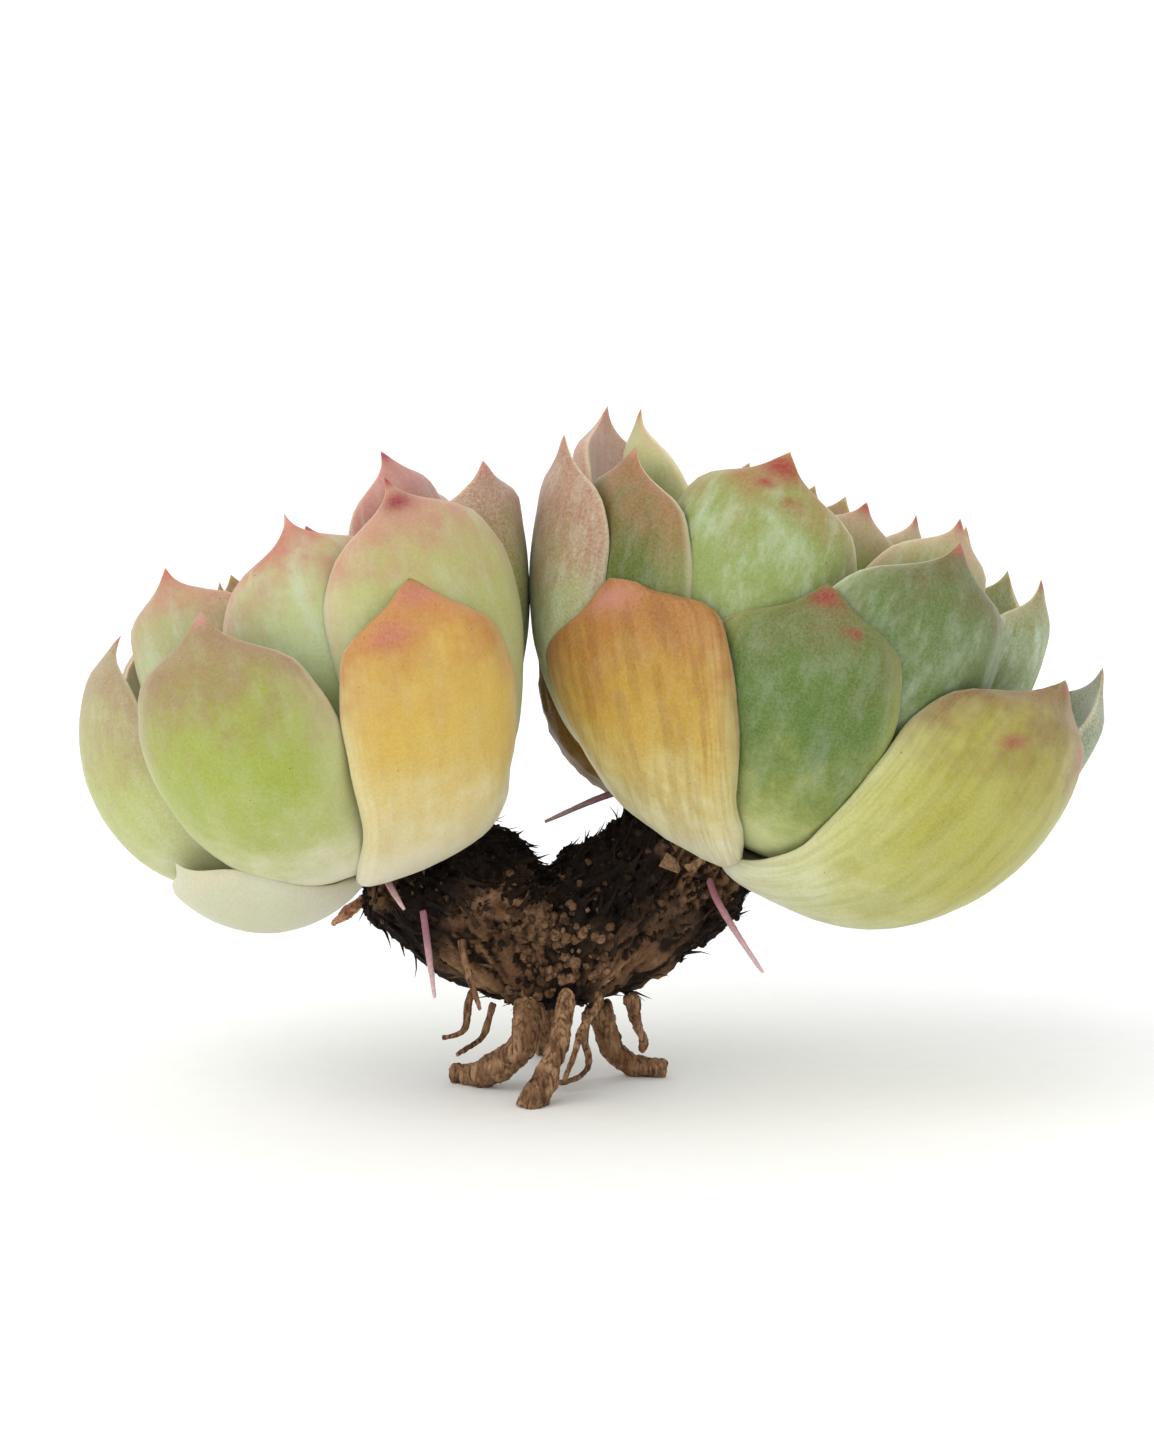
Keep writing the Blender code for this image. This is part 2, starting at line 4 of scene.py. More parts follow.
import bmesh
import bpy
import numpy as np
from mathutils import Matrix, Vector


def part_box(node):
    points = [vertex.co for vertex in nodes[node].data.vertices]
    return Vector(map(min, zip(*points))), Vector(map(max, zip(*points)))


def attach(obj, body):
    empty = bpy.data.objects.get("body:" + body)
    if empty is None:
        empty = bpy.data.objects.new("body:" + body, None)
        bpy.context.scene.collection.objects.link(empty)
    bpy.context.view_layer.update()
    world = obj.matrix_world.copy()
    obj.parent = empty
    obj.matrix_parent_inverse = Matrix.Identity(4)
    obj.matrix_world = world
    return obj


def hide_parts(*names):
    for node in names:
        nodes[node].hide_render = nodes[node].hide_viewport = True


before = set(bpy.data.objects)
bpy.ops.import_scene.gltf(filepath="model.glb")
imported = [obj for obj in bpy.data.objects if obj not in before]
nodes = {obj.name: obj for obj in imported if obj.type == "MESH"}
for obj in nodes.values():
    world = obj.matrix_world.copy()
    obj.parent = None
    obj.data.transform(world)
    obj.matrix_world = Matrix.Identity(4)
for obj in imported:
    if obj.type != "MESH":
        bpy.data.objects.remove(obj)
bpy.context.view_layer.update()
print("frame loaded:", len(nodes), "nodes")


def tint(hexText):
    # sRGB hex to the linear values a shader wants
    parts = [int(hexText[i:i + 2], 16) / 255 for i in (1, 3, 5)]
    return [p / 12.92 if p <= 0.04045 else ((p + 0.055) / 1.055) ** 2.4 for p in parts] + [1.0]


def addNode(tree, kind, inputs=None, **settings):
    # an input is a plain value, a socket, or a node, which stands for its first output in use
    node = tree.nodes.new(kind)
    for name, value in settings.items():
        setattr(node, name, value)
    for name, value in (inputs or {}).items():
        if isinstance(value, bpy.types.Node):
            value = next(output for output in value.outputs if output.enabled)
        if isinstance(value, bpy.types.NodeSocket):
            tree.links.new(value, node.inputs[name])
        else:
            node.inputs[name].default_value = value
    return node


def newMaterial(name):
    material = bpy.data.materials.new(name)
    material.use_nodes = True
    material.node_tree.nodes.clear()
    return material, material.node_tree


def finishMaterial(tree, shader):
    addNode(tree, "ShaderNodeOutputMaterial", {"Surface": shader})


def plainMesh(name, points, faces):
    mesh = bpy.data.meshes.new(name)
    mesh.from_pydata([tuple(p) for p in points], [], faces)
    mesh.update()
    made = bpy.data.objects.new(name, mesh)
    bpy.context.scene.collection.objects.link(made)
    return made


def setPointValues(mesh, name, kind, values):
    field = {"FLOAT": "value", "FLOAT_VECTOR": "vector", "FLOAT_COLOR": "color"}[kind]
    layer = mesh.attributes.new(name, kind, "POINT")
    layer.data.foreach_set(field, np.asarray(values, np.float32).ravel())


def smooth(mesh):
    mesh.polygons.foreach_set("use_smooth", [True] * len(mesh.polygons))
    mesh.update()


def tubeFaces(count, around, start, end):
    # quads between count rings of points, closed by a fan at each end
    faces = []
    for r in range(count - 1):
        for i in range(around):
            j = (i + 1) % around
            faces.append((r * around + i, r * around + j, (r + 1) * around + j, (r + 1) * around + i))
    for i in range(around):
        j = (i + 1) % around
        faces.append((start, j, i))
        faces.append((end, (count - 1) * around + i, (count - 1) * around + j))
    return faces


def tubeMap(mesh, around, shares, start, end):
    # u runs round the rings and v from the start to the end
    layer = mesh.uv_layers.new(name="UVMap")
    for polygon in mesh.polygons:
        turns = [(mesh.loops[k].vertex_index % around) / around for k in polygon.loop_indices]
        wrap = max(turns) - min(turns) > 0.5
        for k, u in zip(polygon.loop_indices, turns):
            index = mesh.loops[k].vertex_index
            v = 1.0 if index == end else 0.0 if index == start else shares[index // around]
            layer.uv[k].vector = (1.0 if wrap and u == 0 else u, v)


def faceOutward(mesh):
    work = bmesh.new()
    work.from_mesh(mesh)
    bmesh.ops.recalc_face_normals(work, faces=work.faces[:])
    work.to_mesh(mesh)
    work.free()
    smooth(mesh)


def weldedCopy(node):
    # a CAD node's mesh is loose triangles, so its doubles are merged
    work = bmesh.new()
    work.from_mesh(nodes[node].data)
    bmesh.ops.remove_doubles(work, verts=work.verts[:], dist=1e-6)
    work.verts.ensure_lookup_table()
    return work


def runTree(target, tree, values):
    # applies a geometry node tree with these named inputs and keeps the result as a plain mesh
    modifier = target.modifiers.new(tree.name, "NODES")
    modifier.node_group = tree
    for item in tree.interface.items_tree:
        if item.item_type == "SOCKET" and item.in_out == "INPUT" and item.name in values:
            modifier[item.identifier] = values[item.name]
    bpy.context.view_layer.update()
    graph = bpy.context.evaluated_depsgraph_get()
    result = bpy.data.meshes.new_from_object(
        target.evaluated_get(graph), preserve_all_data_layers=True, depsgraph=graph)
    target.modifiers.remove(modifier)
    target.data = result
    return target


def newGeometryTree(name, inputs):
    tree = bpy.data.node_groups.new(name, "GeometryNodeTree")
    tree.interface.new_socket("Geometry", in_out="INPUT", socket_type="NodeSocketGeometry")
    for label, kind, value in inputs:
        socket = tree.interface.new_socket(label, in_out="INPUT", socket_type="NodeSocket" + kind)
        if value is not None:
            socket.default_value = value
    tree.interface.new_socket("Geometry", in_out="OUTPUT", socket_type="NodeSocketGeometry")
    given = addNode(tree, "NodeGroupInput").outputs
    return tree, given


def endTree(tree, geometry, material):
    realized = addNode(tree, "GeometryNodeRealizeInstances", {"Geometry": geometry})
    painted = addNode(tree, "GeometryNodeSetMaterial", {"Geometry": realized, "Material": material})
    addNode(tree, "NodeGroupOutput", {0: painted})
    return tree


view = {"target": (-0.00215, 0.0, 0.0367), "distance": 0.55, "elevation": 8.0, "lens": 137.3}


def placeCamera():
    tilt = math.radians(view["elevation"])
    target = Vector(view["target"])
    away = Vector((0.0, -math.cos(tilt), math.sin(tilt)))
    data = bpy.data.cameras.new("studioCamera")
    data.lens = view["lens"]
    data.sensor_width = 36.0
    data.clip_end = 100.0
    camera = bpy.data.objects.new("studioCamera", data)
    camera.location = target + away * view["distance"]
    camera.rotation_euler = (-away).to_track_quat("-Z", "Y").to_euler()
    bpy.context.scene.collection.objects.link(camera)
    bpy.context.scene.camera = camera


# one broad soft light from the upper left in front, a weak one from behind, and an even bright room
lights = {
    "softKey": {"from": (-0.62, -0.6, 0.75), "spread": 70.0, "strength": 1.05},
    "softBack": {"from": (0.15, 0.8, 0.7), "spread": 90.0, "strength": 0.35},
}
roomStrength = 0.93


def placeLights():
    for name, light in lights.items():
        data = bpy.data.lights.new(name, "SUN")
        data.angle = math.radians(light["spread"])
        data.energy = light["strength"]
        lamp = bpy.data.objects.new(name, data)
        lamp.rotation_euler = (-Vector(light["from"])).to_track_quat("-Z", "Y").to_euler()
        bpy.context.scene.collection.objects.link(lamp)
    world = bpy.data.worlds.new("softRoom")
    world.use_nodes = True
    world.node_tree.nodes["Background"].inputs["Color"].default_value = (1.0, 1.0, 1.0, 1.0)
    world.node_tree.nodes["Background"].inputs["Strength"].default_value = roomStrength
    bpy.context.scene.world = world


def makeFloor():
    # matt white studio board
    material, tree = newMaterial("mattWhiteBoard")
    place = addNode(tree, "ShaderNodeTexCoord").outputs["Object"]
    grain = addNode(tree, "ShaderNodeTexNoise", {
        "Vector": place, "Scale": 1000 / 3.0, "Detail": 3.0, "Roughness": 0.55})
    tone = addNode(tree, "ShaderNodeMix", {
        0: addNode(tree, "ShaderNodeMapRange", {
            "Value": grain, "From Min": 0.3, "From Max": 0.7}, interpolation_type="SMOOTHSTEP"),
        6: tint("#FAFAFA"), 7: tint("#FCFCFC")}, data_type="RGBA")
    shader = addNode(tree, "ShaderNodeBsdfPrincipled", {"Base Color": tone, "Roughness": 0.9})
    finishMaterial(tree, shader)
    corners = [(20 * math.cos(a), 20 * math.sin(a), 0) for a in np.linspace(0, 2 * math.pi, 64, False)]
    floor = plainMesh("studioFloor", corners, [tuple(range(64))])
    floor.data.materials.append(material)


placeCamera()
placeLights()
makeFloor()
bpy.context.scene.view_settings.view_transform = "Standard"
print("camera, lights and floor placed")


def ringsOf(node, count):
    # rings of a body that was lofted with count points to a ring, read outward from its pointed end
    work = weldedCopy(node)
    for start in [v for v in work.verts if len(v.link_edges) >= count]:
        levels = [[start]]
        seen = {start}
        while levels[-1]:
            ahead = []
            for vert in levels[-1]:
                for edge in vert.link_edges:
                    other = edge.other_vert(vert)
                    if other not in seen:
                        seen.add(other)
                        ahead.append(other)
            levels.append(ahead)
        levels.pop()
        sizes = [len(level) for level in levels]
        if sizes[1:-1] == [count] * (len(sizes) - 2) and sizes[-1] in (1, count):
            break
    else:
        raise ValueError(node + " has no ring structure")
    depth = {vert: i for i, level in enumerate(levels) for vert in level}
    rings = []
    for i, level in enumerate(levels):
        if len(level) == 1:
            continue
        towardTip = i - 1
        walk = {vert: [] for vert in level}
        for vert in level:
            for edge in vert.link_edges:
                other = edge.other_vert(vert)
                apexes = [v for face in edge.link_faces for v in face.verts if v not in (vert, other)]
                if depth[other] == i and any(depth[v] == towardTip for v in apexes):
                    walk[vert].append(other)
        order = [level[0]]
        while len(order) < count:
            following = [v for v in walk[order[-1]] if v not in order]
            order.append(following[0])
        rings.append(np.array([v.co[:] for v in order]))
    tip = np.array(levels[0][0].co[:])
    end = np.array(levels[-1][0].co[:]) if len(levels[-1]) == 1 else None
    work.free()
    for k in range(1, len(rings)):
        best = None
        for turned in (rings[k], rings[k][::-1]):
            for shift in range(count):
                tried = np.roll(turned, shift, axis=0)
                cost = ((tried - rings[k - 1]) ** 2).sum()
                if best is None or cost < best[0]:
                    best = (cost, tried)
        rings[k] = best[1]
    return tip, rings, end


def smoothAround(points, count):
    # closed Catmull-Rom through the ring's points
    size = len(points)
    t = np.arange(count) * size / count
    i = np.floor(t).astype(int)
    f = (t - i)[:, None]
    before, here, after, beyond = (points[(i + k) % size] for k in (-1, 0, 1, 2))
    return 0.5 * (2 * here + (after - before) * f + (2 * before - 5 * here + 4 * after - beyond) * f ** 2
                  + (3 * here - before - 3 * after + beyond) * f ** 3)


def smoothAlong(rows, steps, wanted):
    # Hermite curve through rows placed at steps, read at the wanted places
    rows = np.asarray(rows)
    gaps = np.diff(steps)[:, None, None]
    slopes = np.diff(rows, axis=0) / gaps
    tangents = np.empty_like(rows)
    tangents[0], tangents[-1] = slopes[0], slopes[-1]
    tangents[1:-1] = (slopes[1:] * gaps[:-1] + slopes[:-1] * gaps[1:]) / (gaps[1:] + gaps[:-1])
    found = np.clip(np.searchsorted(steps, wanted, "right") - 1, 0, len(steps) - 2)
    width = gaps[found]
    f = ((wanted - steps[found]) / gaps[found, 0, 0])[:, None, None]
    a, b, m, n = rows[found], rows[found + 1], tangents[found], tangents[found + 1]
    return ((2 * f ** 3 - 3 * f ** 2 + 1) * a + (f ** 3 - 2 * f ** 2 + f) * width * m
            + (3 * f ** 2 - 2 * f ** 3) * b + (f ** 3 - f ** 2) * width * n)


def makeLeafFlesh():
    # Echeveria leaf: firm water-filled flesh under a thin wax bloom. The eye sees a soft, nearly matt sheen,
    # colour that drifts from a cream base to green and a stippled pink or brown blush at the top, paler
    # rounded margins, and powdery white patches where the wax lies thick.
    material, tree = newMaterial("waxBloomedLeafFlesh")
    place = addNode(tree, "ShaderNodeTexCoord").outputs["Object"]
    along = addNode(tree, "ShaderNodeAttribute", attribute_name="along").outputs["Fac"]
    across = addNode(tree, "ShaderNodeMath", {
        0: addNode(
            tree, "ShaderNodeAttribute", attribute_name="across").outputs["Fac"]}, operation="ABSOLUTE")
    habit = addNode(tree, "ShaderNodeSeparateXYZ", {
        0: addNode(tree, "ShaderNodeAttribute", attribute_name="habit").outputs["Vector"]}).outputs
    finish = addNode(tree, "ShaderNodeSeparateXYZ", {
        0: addNode(tree, "ShaderNodeAttribute", attribute_name="finish").outputs["Vector"]}).outputs
    blushFrom, blushPower, bloom = habit[0], habit[1], habit[2]
    streaks, speckle, paleEdge = finish[0], finish[1], finish[2]
    mottle = addNode(tree, "ShaderNodeTexNoise", {
        "Vector": place, "Scale": 1000 / 5.0, "Detail": 3.0, "Roughness": 0.55})
    patch = addNode(tree, "ShaderNodeTexNoise", {
        "Vector": place, "Scale": 1000 / 1.6, "Detail": 4.0, "Roughness": 0.6})
    stipple = addNode(tree, "ShaderNodeTexNoise", {
        "Vector": place, "Scale": 1000 / 0.28, "Detail": 3.0, "Roughness": 0.7})
    drift = addNode(tree, "ShaderNodeMath", {
        0: addNode(tree, "ShaderNodeMath", {0: mottle, 1: 0.5}, operation="SUBTRACT"),
        1: 0.34}, operation="MULTIPLY")
    ripple = addNode(tree, "ShaderNodeMath", {
        0: addNode(tree, "ShaderNodeMath", {0: patch, 1: 0.5}, operation="SUBTRACT"),
        1: 0.16}, operation="MULTIPLY")
    level = addNode(tree, "ShaderNodeMath", {
        0: addNode(tree, "ShaderNodeMath", {0: along, 1: drift}, operation="ADD"),
        1: ripple}, operation="ADD")
    tone = addNode(tree, "ShaderNodeMix", {
        0: addNode(tree, "ShaderNodeMapRange", {
            "Value": level, "From Min": 0.08, "From Max": 0.5}, interpolation_type="SMOOTHSTEP"),
        6: addNode(tree, "ShaderNodeAttribute", attribute_name="baseTone").outputs["Color"],
        7: addNode(
            tree, "ShaderNodeAttribute", attribute_name="bodyTone").outputs["Color"]}, data_type="RGBA")
    # the middle of the leaf is deeper in colour than its margins
    heart = addNode(tree, "ShaderNodeMath", {
        0: addNode(tree, "ShaderNodeMapRange", {
            "Value": level, "From Min": 0.26, "From Max": 0.64}, interpolation_type="SMOOTHSTEP"),
        1: addNode(tree, "ShaderNodeMapRange", {
            "Value": across, "From Min": 0.35, "From Max": 1.0, "To Min": 1.0,
            "To Max": 0.1}, interpolation_type="SMOOTHSTEP")}, operation="MULTIPLY")
    tone = addNode(tree, "ShaderNodeMix", {
        0: heart, 6: tone,
        7: addNode(
            tree, "ShaderNodeAttribute", attribute_name="heartTone").outputs["Color"]}, data_type="RGBA")
    lift = addNode(tree, "ShaderNodeMath", {
        0: addNode(tree, "ShaderNodeMath", {0: across, 1: 3.0}, operation="POWER"),
        1: 0.12}, operation="MULTIPLY")
    reach = addNode(tree, "ShaderNodeMath", {
        0: addNode(tree, "ShaderNodeMath", {0: level, 1: lift}, operation="ADD"),
        1: blushFrom}, operation="SUBTRACT")
    grains = addNode(tree, "ShaderNodeMath", {
        0: addNode(tree, "ShaderNodeMath", {0: stipple, 1: 0.5}, operation="SUBTRACT"),
        1: 0.32}, operation="MULTIPLY")
    blush = addNode(tree, "ShaderNodeMapRange", {
        "Value": addNode(tree, "ShaderNodeMath", {
            0: reach,
            1: addNode(tree, "ShaderNodeMath", {
                0: grains, 1: 0.35}, operation="MULTIPLY")}, operation="ADD"),
        "From Min": -0.1, "From Max": 0.24}, interpolation_type="SMOOTHSTEP")
    tone = addNode(tree, "ShaderNodeMix", {
        0: addNode(tree, "ShaderNodeMath", {0: blush, 1: blushPower}, operation="MULTIPLY"), 6: tone,
        7: addNode(
            tree, "ShaderNodeAttribute", attribute_name="blushTone").outputs["Color"]}, data_type="RGBA")
    rim = addNode(tree, "ShaderNodeMath", {
        0: addNode(tree, "ShaderNodeMapRange", {
            "Value": across, "From Min": 0.8, "From Max": 0.99}, interpolation_type="SMOOTHSTEP"),
        1: paleEdge}, operation="MULTIPLY")
    tone = addNode(tree, "ShaderNodeMix", {0: rim, 6: tone, 7: tint("#D9D2AE")}, data_type="RGBA")
    # lengthwise streaks, 0.7 mm apart
    lines = addNode(tree, "ShaderNodeMapping", {
        "Vector": addNode(tree, "ShaderNodeAttribute", attribute_name="leafMm").outputs["Vector"],
        "Scale": (1.3, 0.12, 1.0)})
    lined = addNode(tree, "ShaderNodeTexNoise", {"Vector": lines, "Scale": 1.0, "Detail": 3.0})
    lineShade = addNode(tree, "ShaderNodeMath", {
        0: addNode(tree, "ShaderNodeMapRange", {
            "Value": lined, "From Min": 0.42, "From Max": 0.62}, interpolation_type="SMOOTHSTEP"),
        1: streaks}, operation="MULTIPLY")
    tone = addNode(tree, "ShaderNodeMix", {
        0: lineShade, 6: tone,
        7: addNode(
            tree, "ShaderNodeAttribute", attribute_name="heartTone").outputs["Color"]}, data_type="RGBA",
            blend_type="MULTIPLY")
    # wax bloom lies in rubbed lengthwise patches
    rubbed = addNode(tree, "ShaderNodeMapping", {
        "Vector": addNode(tree, "ShaderNodeAttribute", attribute_name="leafMm").outputs["Vector"],
        "Scale": (0.75, 0.22, 1.0)})
    wax = addNode(tree, "ShaderNodeTexNoise", {
        "Vector": rubbed, "Scale": 1.0, "Detail": 5.0, "Roughness": 0.65})
    low = addNode(tree, "ShaderNodeMapRange", {
        "Value": level, "From Min": 0.75, "From Max": 0.98, "To Min": 1.0,
        "To Max": 0.25}, interpolation_type="SMOOTHSTEP")
    waxed = addNode(tree, "ShaderNodeMath", {
        0: addNode(tree, "ShaderNodeMath", {
            0: addNode(tree, "ShaderNodeMapRange", {
                "Value": wax, "From Min": 0.4, "From Max": 0.74}, interpolation_type="SMOOTHSTEP"),
            1: bloom}, operation="MULTIPLY"),
        1: low}, operation="MULTIPLY")
    tone = addNode(tree, "ShaderNodeMix", {0: waxed, 6: tone, 7: tint("#CBD6C2")}, data_type="RGBA")
    tone = addNode(tree, "ShaderNodeMix", {
        0: addNode(tree, "ShaderNodeAttribute", attribute_name="redMark").outputs["Fac"], 6: tone,
        7: addNode(
            tree, "ShaderNodeAttribute", attribute_name="tipTone").outputs["Color"]}, data_type="RGBA")
    tone = addNode(tree, "ShaderNodeMix", {
        0: addNode(tree, "ShaderNodeAttribute", attribute_name="scar").outputs["Fac"], 6: tone,
        7: tint("#A98C66")}, data_type="RGBA")
    # fine grain of the skin, and a few sparse dark dust specks
    light = addNode(tree, "ShaderNodeMapRange", {
        "Value": stipple, "From Min": 0.25, "From Max": 0.75,
        "To Min": -1.0}, interpolation_type="SMOOTHSTEP")
    shade = addNode(tree, "ShaderNodeMath", {
        0: light,
        1: addNode(tree, "ShaderNodeMath", {
            0: addNode(tree, "ShaderNodeMath", {0: speckle, 1: 0.13}, operation="MULTIPLY"),
            1: 0.014}, operation="ADD")}, operation="MULTIPLY")
    brightness = addNode(tree, "ShaderNodeBrightContrast", {"Color": tone, "Bright": shade})
    cells = addNode(tree, "ShaderNodeTexVoronoi", {"Vector": place, "Scale": 1000 / 2.4, "Randomness": 1.0})
    speck = addNode(tree, "ShaderNodeMath", {
        0: cells.outputs["Distance"], 1: 0.035}, operation="LESS_THAN")
    tone = addNode(tree, "ShaderNodeMix", {
        0: addNode(tree, "ShaderNodeMath", {0: speck, 1: 0.6}, operation="MULTIPLY"), 6: brightness,
        7: tint("#5A4A38")}, data_type="RGBA")
    rough = addNode(tree, "ShaderNodeMapRange", {
        "Value": addNode(tree, "ShaderNodeMath", {
            0: waxed,
            1: addNode(tree, "ShaderNodeMath", {
                0: patch, 1: 0.3}, operation="MULTIPLY")}, operation="ADD"),
        "From Min": 0.0, "From Max": 1.0, "To Min": 0.42,
        "To Max": 0.72}, interpolation_type="SMOOTHSTEP")
    skin = addNode(tree, "ShaderNodeMath", {
        0: stipple,
        1: addNode(tree, "ShaderNodeMath", {0: patch, 1: 1.5}, operation="MULTIPLY")}, operation="ADD")
    bump = addNode(tree, "ShaderNodeBump", {"Height": skin, "Strength": 0.22, "Distance": 0.00008})
    shader = addNode(tree, "ShaderNodeBsdfPrincipled", {
        "Base Color": tone, "Roughness": rough, "Normal": bump, "IOR": 1.4, "Specular IOR Level": 0.4,
        "Subsurface Weight": 0.3, "Subsurface Scale": 0.0016, "Subsurface Radius": (1.0, 0.75, 0.35),
        "Sheen Weight": 0.08, "Sheen Roughness": 0.6})
    finishMaterial(tree, shader)
    return material


leafFlesh = makeLeafFlesh()


def makeLeafSkinTree():
    # gives a smooth leaf the slight swellings, lengthwise creases and dents of real flesh
    tree, given = newGeometryTree("leafSkin", [
        ("Swell", "Float", 0.0002), ("Swell size mm", "Float", 7.0),
        ("Crease", "Float", 0.00005), ("Wrinkle", "Float", 0.0), ("Seed", "Float", 0.0),
        ("Material", "Material", None)])
    spot = addNode(tree, "GeometryNodeInputPosition")
    normal = addNode(tree, "GeometryNodeInputNormal")
    leafMm = addNode(tree, "GeometryNodeInputNamedAttribute", {
        "Name": "leafMm"}, data_type="FLOAT_VECTOR")
    scar = addNode(tree, "GeometryNodeInputNamedAttribute", {"Name": "scar"}, data_type="FLOAT")
    scale = addNode(tree, "ShaderNodeMath", {0: 1000.0, 1: given["Swell size mm"]}, operation="DIVIDE")
    broad = addNode(tree, "ShaderNodeTexNoise", {
        "Vector": spot, "W": given["Seed"], "Scale": scale, "Detail": 1.5}, noise_dimensions="4D")
    stretched = addNode(tree, "ShaderNodeVectorMath", {
        0: leafMm, 1: (0.9, 0.09, 1.0)}, operation="MULTIPLY")
    lines = addNode(tree, "ShaderNodeTexNoise", {
        "Vector": stretched, "W": given["Seed"], "Scale": 1.0, "Detail": 2.0}, noise_dimensions="4D")
    crinkled = addNode(tree, "ShaderNodeVectorMath", {
        0: leafMm, 1: (0.9, 0.35, 1.0)}, operation="MULTIPLY")
    folds = addNode(tree, "ShaderNodeTexNoise", {
        "Vector": crinkled, "W": given["Seed"], "Scale": 1.0, "Detail": 3.0,
        "Distortion": 1.2}, noise_dimensions="4D")
    swell = addNode(tree, "ShaderNodeMath", {
        0: addNode(tree, "ShaderNodeMath", {0: broad, 1: 0.5}, operation="SUBTRACT"),
        1: given["Swell"]}, operation="MULTIPLY")
    crease = addNode(tree, "ShaderNodeMath", {
        0: addNode(tree, "ShaderNodeMath", {0: lines, 1: 0.5}, operation="SUBTRACT"),
        1: given["Crease"]}, operation="MULTIPLY")
    wrinkle = addNode(tree, "ShaderNodeMath", {
        0: addNode(tree, "ShaderNodeMath", {0: folds, 1: 0.5}, operation="SUBTRACT"),
        1: given["Wrinkle"]}, operation="MULTIPLY")
    dent = addNode(tree, "ShaderNodeMath", {0: scar, 1: -0.00035}, operation="MULTIPLY")
    height = addNode(tree, "ShaderNodeMath", {
        0: addNode(tree, "ShaderNodeMath", {0: swell, 1: crease}, operation="ADD"),
        1: addNode(tree, "ShaderNodeMath", {0: wrinkle, 1: dent}, operation="ADD")}, operation="ADD")
    offset = addNode(tree, "ShaderNodeVectorMath", {0: normal, "Scale": height}, operation="SCALE")
    moved = addNode(tree, "GeometryNodeSetPosition", {"Geometry": given["Geometry"], "Offset": offset})
    return endTree(tree, moved, given["Material"])


leafSkinTree = makeLeafSkinTree()

# shares of the leaf's length, from its base; edgeWave is in metres
leafShape = {
    "around": 48, "rows": 50, "tipRows": 16, "tipFrom": 0.88, "tipEnd": 0.992,
    "pinchFrom": 0.86, "pinchOver": 0.11, "pinchBy": 0.5, "footReach": 0.42, "edgeReach": 0.12,
    "edgeWave": 0.0008,
}
focusHeight = 0.045  # how far above its crown a rosette's leaves look, in metres
leafDepth = 0.95  # all leaf tones a little deeper, for the bright room

# tones run from the cream base up; blush is (where it starts, how strong); marks are (across, along, mm)
leafDefault = {
    "base": "#C9CBA2", "body": "#AEB47C", "heart": "#98A25E", "blush": "#BE9480", "tip": "#A8564E",
    "blushFrom": 0.80, "blushPower": 0.8, "bloom": 0.35, "streaks": 0.0, "speckle": 0.15, "paleEdge": 0.35,
    "marks": [(0.0, 0.985, 0.9)], "scars": [], "swell": 0.4, "crease": 0.1, "wrinkle": 0.0, "foot": 0.2,
}

